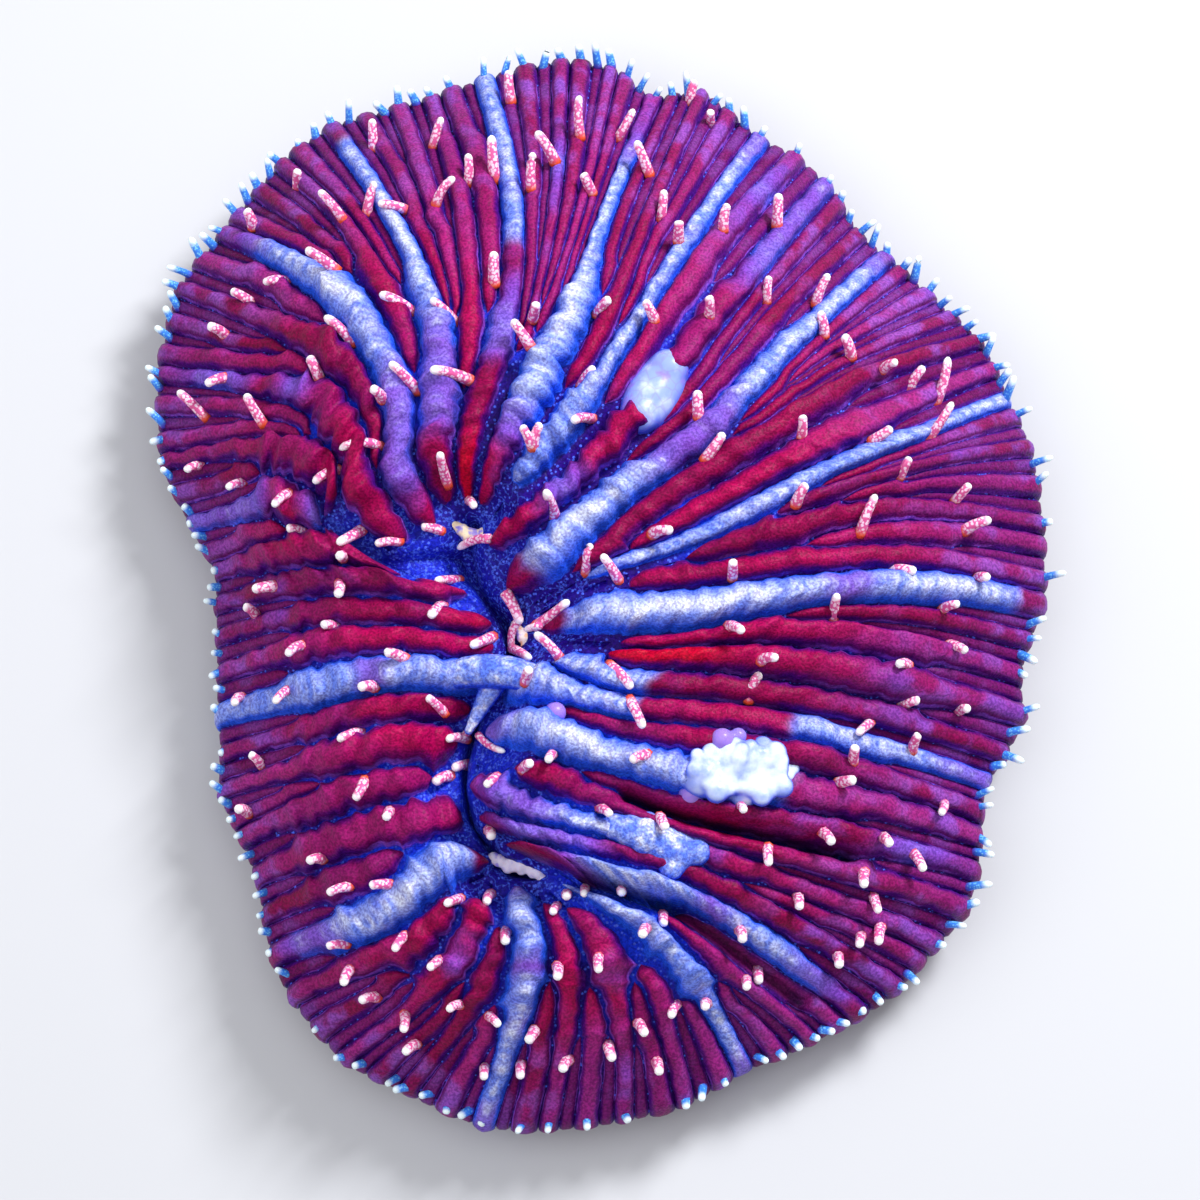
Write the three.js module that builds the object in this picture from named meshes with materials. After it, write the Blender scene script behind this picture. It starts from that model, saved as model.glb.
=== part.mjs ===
// Mushroom coral: one free-living stony coral, ribs and margin as one closed solid.
// Millimetres, +Z up, +Y along the longer side of the coral.
import * as THREE from 'three';
import { mergeVertices } from 'three/addons/utils/BufferGeometryUtils.js';

// ---- Driving dimensions ------------------------------------------------------------
const LENGTH = 100;          // margin to margin along Y
const MARGIN_HEIGHT = 5.2;   // valley floor at the margin, above the floor it rests on
const DOME_RISE = 14;        // from the margin up to the crown, between the ribs
const DOME_REACH = 30;       // the dome is level from this far inside the margin
const FURROW_DEPTH = 3.4;    // the mouth furrow below the crown
const FURROW_REACH = 3.2;    // how far from the furrow the ground starts to drop
const RIB_PITCH = 1.75;      // rib to rib around the margin
const RIB_RISE = 0.66;       // crest height of a rib as a share of its width
const RIB_MAX_RISE = 2.7;    // the tallest crest above the valleys beside it
const NOSE_LENGTH = 1.9;     // the rounded inner end of a rib
const NARROW_LOW = 0.62;     // narrow later ribs stay this low, beside the main ribs
const LATER_LOW = 0.92;      // and the wider later ribs this low
const LIP_OVERHANG = 0.5;    // the margin bulges out under the rib ends
const LIP_THICKNESS = 2.4;   // margin, top to underside
const BASE_SHARE = 0.62;     // the flat resting face as a share of the outline

// Places along a rib: 0 at the furrow, 1 at the margin.
const STATIONS = [0, 0.12, 0.3, 0.5, 0.75, 1];
const ROWS = [0, 0.02, 0.05, 0.1, 0.17, 0.26, 0.36, 0.47, 0.59, 0.72, 0.86, 1];

// Main ribs, counter-clockwise from the east. In each row: the place where the rib
// rises, its width at the furrow and at the margin (relative to its neighbours), and
// the crest in plan at the six stations.
const MAIN_RIBS = [
  [0, 1.8, 1.0, [-5.2, -7.4], [0.5, -7.2], [8.5, -6.7], [18, -5], [29, -3.3], [40.3, -2.8]],
  [0.18, 1, 0.8, [-5.4, -6.8], [0, -5], [8, -3.7], [17, -2.3], [28, -0.6], [40.6, -0.2]],
  [0.3, 1, 0.8, [-5.8, -6.3], [-0.5, -4.2], [7.5, -2], [16, 0.4], [27, 4], [40.6, 5]],
  [0.45, 1, 0.8, [-6, -6.1], [0, -3.7], [8.5, -0.9], [18, 3.4], [29, 8], [39.8, 12.5]],
  [0.1, 1.1, 0.8, [-6.2, -5.9], [0, -3], [8.5, -0.2], [18, 5], [28, 10.2], [37.8, 17]],
  [0.2, 1, 0.8, [-6.6, -5.5], [-0.5, -2.8], [6.5, 1], [15, 5.8], [24, 11.6], [36.8, 20]],
  [0.1, 1, 0.8, [-7, -5.1], [-1.5, -2.6], [4, 2.5], [12.5, 8], [23, 16], [35.4, 22.8]],
  [0, 1.6, 0.9, [-8.2, -4], [-4, -0.6], [2.5, 4.4], [10.5, 11], [19, 20.5], [27, 31]],
  [0.35, 1, 0.8, [-8.8, -1.8], [-4.8, 1], [0.5, 5.4], [8, 11.5], [16.2, 22.5], [24.4, 33.2]],
  [0, 1.4, 0.8, [-9.8, 0.2], [-5.5, 2], [-0.5, 6.4], [5, 13], [13.5, 25], [21.6, 38.2]],
  [0.4, 1, 0.8, [-9.6, 2], [-6.2, 4.5], [-1.8, 8.8], [3, 16.5], [10.5, 29], [18.6, 41]],
  [0.1, 1.1, 0.8, [-9.5, 2.9], [-7, 5.6], [-3, 10.3], [2, 17.8], [8, 29.5], [15.2, 42.8]],
  [0.35, 1, 0.8, [-9.9, 3.5], [-8, 6.4], [-4.2, 12], [0.5, 19.5], [4.6, 32], [9.8, 47.8]],
  [0, 1.7, 1.0, [-10.6, 4], [-9, 7.6], [-6.5, 13.2], [-2.8, 20.6], [0.4, 32], [5.2, 46.9]],
  [0.45, 1, 0.8, [-11, 4.2], [-10, 8], [-8, 13.6], [-4.8, 21], [-1.5, 33], [1.2, 50.2]],
  [0.4, 1, 0.8, [-11.2, 4.3], [-10.5, 8], [-8.8, 13.8], [-6, 21], [-4, 34], [-3.6, 50.9]],
  [0, 1.3, 0.9, [-11.7, 4.4], [-11.6, 8], [-10, 13.4], [-7.8, 21], [-7.8, 34], [-11, 49]],
  [0.3, 1, 0.8, [-12.5, 4.4], [-12.8, 8], [-12, 13.6], [-11.6, 21.5], [-12.8, 33.5], [-16, 47]],
  [0, 1.3, 0.9, [-13.4, 4.2], [-14.4, 8.2], [-14.1, 14], [-14.8, 21.5], [-19.5, 32.5], [-25.4, 44.2]],
  [0.35, 1, 0.8, [-14.1, 3.2], [-16.2, 7], [-16.2, 13.4], [-18, 20.5], [-23, 31], [-30.2, 40.4]],
  [0, 1.5, 0.9, [-14.6, 2], [-17.6, 6], [-18, 13], [-21.4, 20.6], [-28, 27.6], [-35.4, 33.4]],
  [0.15, 1, 0.8, [-15.7, 0.9], [-19.3, 5.2], [-20.2, 11.5], [-23.5, 17.2], [-30, 21.8], [-39.4, 28]],
  [0, 1.4, 0.8, [-17.6, 0.2], [-20.8, 3.6], [-22.2, 9.6], [-25.5, 13], [-32, 16.2], [-41, 19.4]],
  [0.2, 1, 0.8, [-18.6, -0.4], [-22, 2.6], [-24.2, 6.6], [-28, 9.4], [-33.5, 10.6], [-40.3, 11]],
  [0.25, 1, 0.8, [-18.8, -1.2], [-22.4, 0.4], [-25.6, 2.8], [-29.4, 4.6], [-33, 4.8], [-37.4, 5]],
  [0.05, 1, 0.8, [-16, -2.4], [-19.8, -1.9], [-24, -0.6], [-27.6, 0], [-31.2, 0.6], [-34.8, 0.6]],
  [0, 1.1, 0.8, [-11.9, -3.9], [-15.6, -4.2], [-20, -3.4], [-24.6, -3], [-29.6, -2.8], [-34.8, -2.6]],
  [0, 1.1, 0.8, [-9.5, -6.9], [-13, -6.9], [-18, -6.4], [-23.4, -5.6], [-29, -5.4], [-34.6, -5.6]],
  [0, 1, 0.8, [-9.3, -9], [-12.8, -9.2], [-18, -8.6], [-23.6, -8.4], [-29, -8.6], [-34.4, -9]],
  [0, 1.4, 1.1, [-9.2, -12.1], [-12.6, -12.2], [-17.4, -11.9], [-22.6, -12.6], [-28.4, -13], [-34.3, -12.9]],
  [0, 1, 0.8, [-11.4, -14.8], [-14, -14.8], [-18.4, -14.6], [-23, -15], [-28, -15.8], [-33.9, -16.4]],
  [0, 1.2, 0.8, [-12.4, -17.4], [-15, -17.4], [-19.4, -18.2], [-24, -19], [-28.8, -19.6], [-34.1, -20]],
  [0.1, 1, 0.8, [-12.6, -20.2], [-15, -20.8], [-18.8, -21.4], [-23, -22], [-27.6, -22.8], [-32, -24]],
  [0, 1.1, 0.8, [-12, -24.2], [-14.2, -24.6], [-17.6, -25], [-21.6, -25.6], [-26, -26.6], [-30.4, -27.6]],
  [0.3, 1, 0.8, [-10.8, -26.4], [-13.6, -26.2], [-17, -27.4], [-20.8, -28.8], [-25.2, -30], [-29.8, -31.2]],
  [0, 1.3, 0.9, [-9.6, -28.1], [-12.4, -27.7], [-15, -29.8], [-18, -32.6], [-23.4, -33.6], [-29, -34.6]],
  [0.2, 1, 0.8, [-10, -29.3], [-12, -30.4], [-13.6, -32.8], [-16.8, -35], [-21.8, -37], [-27.2, -38.4]],
  [0.1, 1, 0.8, [-9.2, -29.9], [-10.2, -32], [-11, -35], [-13.2, -38], [-17.2, -41], [-22.4, -44]],
  [0.2, 1, 0.8, [-8.4, -30.2], [-8.6, -32.4], [-8.8, -35.6], [-10.4, -39], [-13.2, -42.8], [-16.8, -46.6]],
  [0, 1.4, 0.9, [-7.2, -30.2], [-6.8, -32.4], [-6, -35.6], [-6.3, -39.4], [-8, -44], [-10.2, -49.6]],
  [0.1, 1, 0.8, [-6, -30], [-4.6, -32.2], [-3.2, -35.4], [-2.7, -39.4], [-3.2, -44], [-4.4, -49.8]],
  [0.15, 1, 0.8, [-5.3, -29.8], [-3.2, -31.8], [-0.6, -35], [1.2, -39], [2.2, -43.6], [2.2, -49]],
  [0.45, 1, 0.8, [-4.9, -29.6], [-2.2, -31.4], [1.4, -34.2], [4.2, -38], [6, -42.4], [7.6, -47.6]],
  [0.05, 1.1, 0.8, [-4.5, -29.4], [-1.4, -31.2], [3, -33.4], [6.6, -36], [9.6, -39.8], [12.7, -44.6]],
  [0.35, 1, 0.8, [-4.2, -29.1], [-0.6, -30.7], [4.4, -32.6], [8.4, -34.9], [13.2, -38.6], [18.8, -42.2]],
  [0, 1.3, 0.9, [-8, -26.9], [-4.5, -28.2], [0.5, -29.6], [7, -31], [14, -34.6], [22.8, -40]],
  [0, 1.1, 0.8, [-10.4, -24.6], [-7.2, -26], [-1.8, -27.2], [5.5, -28.8], [15.5, -32.6], [26.4, -37.6]],
  [0, 1.2, 0.8, [-11.3, -21.6], [-8, -23.8], [-2.4, -25.4], [5.4, -27], [17, -30], [29.8, -33.8]],
  [0.1, 1, 0.8, [-10.7, -19.4], [-6.6, -20.9], [-0.5, -22.9], [7.5, -25.6], [19, -28.4], [32.6, -30.6]],
  [0.25, 1, 0.8, [-10.3, -18.2], [-6, -19.4], [0.4, -21.6], [8.8, -24.4], [20, -25.2], [33.9, -27]],
  [0, 1.6, 0.9, [-10, -16.8], [-5.6, -16.9], [0.6, -19.6], [9, -21.4], [21, -22.6], [34, -24.2]],
  [0.15, 1, 0.8, [-9.6, -15.2], [-4.8, -15.2], [2, -17], [10.4, -18.2], [22, -19.8], [34.3, -21.6]],
  [0, 1.3, 0.9, [-8, -11.6], [-4.6, -13.2], [1.4, -15.2], [9.4, -15.6], [21.4, -16.8], [34.8, -19]],
  [0.1, 1, 0.8, [-6.8, -9.9], [-3.4, -11.4], [2.6, -13.2], [10.6, -13.8], [22, -14.6], [36.4, -16.6]],
  [0.2, 1, 0.8, [-6.1, -9], [-2.2, -10.2], [4.4, -10.8], [13, -10.8], [24.5, -11.8], [38.3, -12.8]],
  [0.2, 1, 0.8, [-5.6, -8.4], [-1.4, -9.3], [6, -9.5], [15.2, -8.4], [26, -7.9], [38, -9]],
  [0.5, 1, 0.8, [-5.3, -7.9], [-0.6, -8.8], [7, -8.7], [16.4, -6.9], [27.5, -6], [39, -6]],
];

// Deep folds between two ribs: depth and reach, the rib on each side, and where along them.
const FOLDS = [
  { depth: 3.4, reach: 0.8, ribs: [44, 45], from: 0.16, to: 0.9 },
  { depth: 3.0, reach: 0.7, ribs: [48, 49], from: 0.36, to: 0.8 },
];

// Places swollen with water: x, y, radius and rise.
const SWELLINGS = [
  [19, -18.3, 2.4, 1.6], [12, -20.5, 4.5, 1.2], [4.6, 13.6, 2.6, 0.8], [25, -23.4, 2.2, 0.8],
];

// ---- Small helpers -----------------------------------------------------------------
const mix = (a, b, f) => a + (b - a) * f;
const clamp01 = (x) => Math.min(1, Math.max(0, x));
const roundedRise = (x) => Math.sqrt(1 - (1 - clamp01(x)) ** 2);

// A repeatable number between 0 and 1 for the natural unevenness of the ribs.
function unevenness(n) {
  const s = Math.sin(n * 12.9898) * 43758.5453;
  return s - Math.floor(s);
}

// Slope of a curve at one station, from its neighbours.
function slopeAt(values, i) {
  const lo = Math.max(0, i - 1);
  const hi = Math.min(STATIONS.length - 1, i + 1);
  return (values[hi] - values[lo]) / (STATIONS[hi] - STATIONS[lo]);
}

// A smooth curve through the values given at the stations.
function curveAt(values, t) {
  let i = 0;
  while (i < STATIONS.length - 2 && t > STATIONS[i + 1]) i += 1;
  const span = STATIONS[i + 1] - STATIONS[i];
  const x = (t - STATIONS[i]) / span;
  const a = slopeAt(values, i) * span;
  const b = slopeAt(values, i + 1) * span;
  const rise = values[i + 1] - values[i];
  return values[i] + x * (a + x * (3 * rise - 2 * a - b + x * (a + b - 2 * rise)));
}

// ---- Ribs --------------------------------------------------------------------------
function mainRib(row) {
  const [start, inner, outer, ...places] = row;
  const xs = places.map((p) => p[0]);
  const ys = places.map((p) => p[1]);
  let length = 0;
  for (let i = 1; i < places.length; i += 1) {
    length += Math.hypot(xs[i] - xs[i - 1], ys[i] - ys[i - 1]);
  }
  return { start, inner, outer, xs, ys, length, low: 1 };
}

// Relative width of a rib: nothing before it rises, a small bulb at first, then wider.
function ribWidth(rib, t) {
  const full = mix(rib.inner, rib.outer, t);
  if (rib.start === 0) return full;
  const past = t - rib.start;
  return full * (0.4 * roundedRise(past / 0.05) + 0.6 * roundedRise(past / 0.4) ** 1.5);
}

// Later ribs between two main ribs: every second one stays narrow and low.
function laterRibs(a, b, seed) {
  const gap = Math.hypot(a.xs[5] - b.xs[5], a.ys[5] - b.ys[5]);
  const count = Math.max(0, Math.round(gap / RIB_PITCH) - 1);
  const ribs = [];
  for (let j = 0; j < count; j += 1) {
    const narrow = j % 2 === 0;
    const start = (narrow ? 0.6 : 0.42) + 0.28 * unevenness(seed * 7 + j);
    const width = (narrow ? 0.5 : 0.85) + 0.2 * unevenness(seed * 11 + j);
    ribs.push({ start, inner: width, outer: width, low: narrow ? NARROW_LOW : LATER_LOW });
  }
  return ribs;
}

// Between main rib a and the next one b: where each line between two ribs runs,
// as a share of the way from a's crest to b's crest.
function sectorShares(a, between, b, t) {
  const widths = between.map((rib) => ribWidth(rib, t));
  const half = ribWidth(a, t) / 2;
  const total = half + widths.reduce((sum, w) => sum + w, 0) + ribWidth(b, t) / 2;
  const shares = [];
  let run = half;
  for (const w of [...widths, 0]) {
    shares.push(total > 0 ? run / total : 1);
    run += w;
  }
  return shares;
}

// A place on the way from main rib a to main rib b.
function placeBetween(a, b, share, t) {
  return {
    x: mix(curveAt(a.xs, t), curveAt(b.xs, t), share),
    y: mix(curveAt(a.ys, t), curveAt(b.ys, t), share),
    length: mix(a.length, b.length, share),
  };
}

// Distance in plan from a place to a line of places.
function distanceToLine(x, y, line) {
  let best = Infinity;
  for (let i = 1; i < line.length; i += 1) {
    const [px, py] = line[i - 1];
    const [dx, dy] = [line[i][0] - px, line[i][1] - py];
    const along = clamp01(((x - px) * dx + (y - py) * dy) / (dx * dx + dy * dy));
    best = Math.min(best, Math.hypot(x - px - along * dx, y - py - along * dy));
  }
  return best;
}

// Each fold's line in plan, halfway between its two ribs.
function foldLines(mains) {
  return FOLDS.map(({ depth, reach, ribs, from, to }) => {
    const [a, b] = ribs.map((i) => mains[i]);
    const line = [];
    for (let k = 0; k <= 20; k += 1) {
      const { x, y } = placeBetween(a, b, 0.5, mix(from, to, k / 20));
      line.push([x, y]);
    }
    return { depth, reach, line };
  });
}

// Height of the ground between the ribs: the dome, less the furrow and the folds.
function groundHeight(t, { x, y, length }, folds) {
  const inside = clamp01(((1 - t) * length) / DOME_REACH);
  const fromFurrow = (t * length) / FURROW_REACH;
  let height = MARGIN_HEIGHT + DOME_RISE * (1 - (1 - inside) ** 2.2);
  height -= FURROW_DEPTH * Math.exp(-fromFurrow * fromFurrow);
  for (const { depth, reach, line } of folds) {
    height -= depth * Math.exp(-((distanceToLine(x, y, line) / reach) ** 2));
  }
  for (const [cx, cy, radius, rise] of SWELLINGS) {
    height += rise * Math.exp(-((Math.hypot(x - cx, y - cy) / radius) ** 3));
  }
  return height;
}

// Crest height above the ground, lower at the rounded inner end and at the margin.
function crestRise(rib, width, t, length) {
  const nose = roundedRise(((t - rib.start) * length) / NOSE_LENGTH);
  return Math.min(RIB_MAX_RISE, RIB_RISE * width) * nose * rib.low * mix(1, 0.8, t);
}

// One row around the coral: for every rib a valley place and a crest place.
function ribRow(mains, t, folds) {
  const row = [];
  const count = mains.length;
  const sectors = mains.map((a, i) => {
    const b = mains[(i + 1) % count];
    const shares = sectorShares(a, a.between, b, t);
    return { a, b, valleys: shares.map((s) => placeBetween(a, b, s, t)) };
  });
  sectors.forEach(({ a, valleys }, i) => {
    const before = sectors[(i + count - 1) % count].valleys;
    const entry = before[before.length - 1];
    const crest = placeBetween(a, a, 0, t);
    row.push({ rib: a, valley: entry, crest, exit: valleys[0] });
    a.between.forEach((rib, j) => {
      const lo = valleys[j];
      const hi = valleys[j + 1];
      const middle = { x: mix(lo.x, hi.x, 0.5), y: mix(lo.y, hi.y, 0.5), length: lo.length };
      row.push({ rib, valley: lo, crest: middle, exit: hi });
    });
  });
  const ring = [];
  for (const { rib, valley, crest, exit } of row) {
    const width = Math.hypot(exit.x - valley.x, exit.y - valley.y);
    const ground = groundHeight(t, crest, folds);
    const risen = ribWidth(rib, t) > 0;
    const top = risen ? crest : valley;
    const z = risen ? ground + crestRise(rib, width, t, crest.length) : 0;
    const floor = groundHeight(t, valley, folds);
    ring.push([valley.x, valley.y, floor]);
    ring.push([top.x, top.y, risen ? z : floor]);
  }
  return ring;
}

// ---- The closed solid --------------------------------------------------------------
function scaledRing(ring, share, height) {
  return ring.map(([x, y, z]) => [x * share, y * share, height(z)]);
}

// The margin turns under, thins to its lower edge and slopes in to the flat base.
function undersideRings(margin) {
  const out = 1 + (2 * LIP_OVERHANG) / LENGTH;
  const edge = scaledRing(margin, out, (z) => z - 0.4 * LIP_THICKNESS);
  const below = scaledRing(margin, 0.965, (z) => mix(z, MARGIN_HEIGHT, 0.6) - LIP_THICKNESS);
  const base = scaledRing(margin, BASE_SHARE, () => 0);
  return [edge, below, base];
}

// Cap triangles over a closed ring; up or down decides which way they face.
function capFaces(ring, first, up) {
  const outline = ring.map(([x, y]) => new THREE.Vector2(x, y));
  const kept = [];
  outline.forEach((p, i) => {
    const last = kept[kept.length - 1];
    if (last === undefined || outline[last].distanceTo(p) > 0.002) kept.push(i);
  });
  const faces = THREE.ShapeUtils.triangulateShape(kept.map((i) => outline[i]), []);
  return faces.map(([a, b, c]) => {
    const face = [first + kept[a], first + kept[b], first + kept[c]];
    return up ? face : face.reverse();
  });
}

function wallFaces(ringCount, size) {
  const faces = [];
  for (let r = 0; r < ringCount - 1; r += 1) {
    for (let i = 0; i < size; i += 1) {
      const j = (i + 1) % size;
      const a = r * size + i;
      const b = r * size + j;
      faces.push([a, a + size, b + size], [a, b + size, b]);
    }
  }
  return faces;
}

// Bottom centre of the bounding box to the origin, length along Y as driven.
function settle(rings) {
  const box = new THREE.Box3();
  rings.flat().forEach(([x, y, z]) => box.expandByPoint(new THREE.Vector3(x, y, z)));
  const centre = box.getCenter(new THREE.Vector3());
  const scale = LENGTH / (box.max.y - box.min.y);
  const round = (v) => Math.round(v * 1000) / 1000;
  return rings.map((ring) => ring.map(([x, y, z]) => [
    round((x - centre.x) * scale),
    round((y - centre.y) * scale),
    round(z),
  ]));
}

function coralGeometry() {
  const mains = MAIN_RIBS.map(mainRib);
  mains.forEach((a, i) => {
    a.between = laterRibs(a, mains[(i + 1) % mains.length], i + 1);
  });
  const folds = foldLines(mains);
  const top = ROWS.map((t) => ribRow(mains, t, folds));
  const rings = settle([...top, ...undersideRings(top[top.length - 1])]);
  const size = rings[0].length;
  const lastRing = rings.length - 1;
  const faces = [
    ...wallFaces(rings.length, size),
    ...capFaces(rings[0], 0, true),
    ...capFaces(rings[lastRing], lastRing * size, false),
  ];
  const soup = new THREE.BufferGeometry();
  soup.setAttribute('position', new THREE.Float32BufferAttribute(rings.flat(2), 3));
  soup.setIndex(faces.flat());
  return withoutFlatFaces(mergeVertices(soup, 1e-3));
}

// Triangles that closed up where a rib starts are dropped.
function withoutFlatFaces(geometry) {
  const index = Array.from(geometry.index.array);
  const kept = [];
  for (let i = 0; i < index.length; i += 3) {
    const [a, b, c] = index.slice(i, i + 3);
    if (a !== b && b !== c && c !== a) kept.push(a, b, c);
  }
  geometry.setIndex(kept);
  geometry.computeVertexNormals();
  return geometry;
}

const flesh = new THREE.MeshStandardMaterial({ color: 0x8e063e, roughness: 0.45 });
const coral = new THREE.Mesh(coralGeometry(), flesh);
coral.name = 'coral';

const group = new THREE.Group();
group.name = 'mushroom_coral';
group.add(coral);

export default group;
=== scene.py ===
# %% [markdown]
# # A mushroom coral, built in cells
# The object is a free-living stony coral: a domed plate of limestone under one skin of
# soft tissue. Fleshy ribs fan out from a curved furrow that holds the mouths, and short
# tentacles stand all over them. This lesson lays every rib as a strip on its own line,
# joins the strips into one skin, closes it underneath, then grows the small soft pieces.

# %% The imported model, and the tools
import math
import random
from functools import partial

import bpy
import numpy as np
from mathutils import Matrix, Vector


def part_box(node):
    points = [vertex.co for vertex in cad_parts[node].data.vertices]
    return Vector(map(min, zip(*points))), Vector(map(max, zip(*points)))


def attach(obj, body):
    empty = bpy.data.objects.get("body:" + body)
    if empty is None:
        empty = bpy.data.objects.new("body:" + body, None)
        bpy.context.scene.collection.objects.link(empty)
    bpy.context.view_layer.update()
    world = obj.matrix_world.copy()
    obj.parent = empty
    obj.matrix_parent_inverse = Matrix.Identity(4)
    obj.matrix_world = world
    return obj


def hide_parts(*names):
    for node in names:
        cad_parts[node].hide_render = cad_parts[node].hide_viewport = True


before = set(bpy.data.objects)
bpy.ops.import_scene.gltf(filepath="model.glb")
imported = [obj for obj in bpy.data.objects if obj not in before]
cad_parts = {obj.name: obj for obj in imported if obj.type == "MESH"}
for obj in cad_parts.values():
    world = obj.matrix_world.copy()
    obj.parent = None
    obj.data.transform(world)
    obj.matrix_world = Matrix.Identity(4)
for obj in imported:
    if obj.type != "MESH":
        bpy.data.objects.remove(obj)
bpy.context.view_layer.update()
coral_low, coral_high = (np.array(corner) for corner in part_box("coral"))
print("CAD box, mm:", (coral_high - coral_low) * 1000)

MM = 0.001
rng = random.Random(7)


# %% [markdown]
# ## Colours and nodes
# Screen colours are kept as hex values and turned to linear ones by one function. Another
# adds any shader node with its settings and its links, and gives the socket that the next
# node reads. Each material then reads as a list, from what it measures to its surface.

# %% Helpers for every material
# settings that many nodes share: colours mixed or multiplied, soft steps, and arithmetic
COLOUR = {"data_type": "RGBA"}
COLOUR_TIMES = {"data_type": "RGBA", "blend_type": "MULTIPLY"}
SMOOTH = {"interpolation_type": "SMOOTHSTEP"}
ADD, SUBTRACT, TIMES = ({"operation": name} for name in ("ADD", "SUBTRACT", "MULTIPLY"))


def linear(hex_colour):
    """A screen colour such as "8e043e" as the linear RGBA a shader works in."""
    parts = [int(hex_colour[i:i + 2], 16) / 255 for i in (0, 2, 4)]
    return [p / 12.92 if p <= 0.04045 else ((p + 0.055) / 1.055) ** 2.4 for p in parts] + [1.0]


def add_node(material, kind, settings=None, out=0, **inputs):
    """Adds a node and gives one of its output sockets.

    Settings are its own fields. An input is a value, or a socket to link. It goes by its
    name, or by its number, as i6, where several inputs of a node have the same name.
    """
    node = material.node_tree.nodes.new("ShaderNode" + kind)
    for field, value in (settings or {}).items():
        setattr(node, field, value)
    for name, value in inputs.items():
        key = int(name[1:]) if name[0] == "i" and name[1:].isdigit() else name.replace("_", " ")
        if isinstance(value, bpy.types.NodeSocket):
            material.node_tree.links.new(value, node.inputs[key])
        else:
            node.inputs[key].default_value = value
    return node.outputs[out] if node.outputs else None


def new_material(name):
    """An empty material, and add_node made ready for it."""
    material = bpy.data.materials.new(name)
    material.use_nodes = True
    material.node_tree.nodes.clear()
    return material, partial(add_node, material)


print("mid grey is", [round(part, 3) for part in linear("808080")])


# %% [markdown]
# ## The lines of the ribs
# On the real coral the first ribs run from the furrow to the margin and later ones rise
# between them as it grows, so all stand about 1.7 mm apart. The main ribs are listed
# below: where each rises, its relative width at both ends, and its crest in plan at
# six stations, in millimetres.

# %% Main ribs, counter-clockwise from the east
STATIONS = np.array([0, 0.12, 0.3, 0.5, 0.75, 1])
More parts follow.
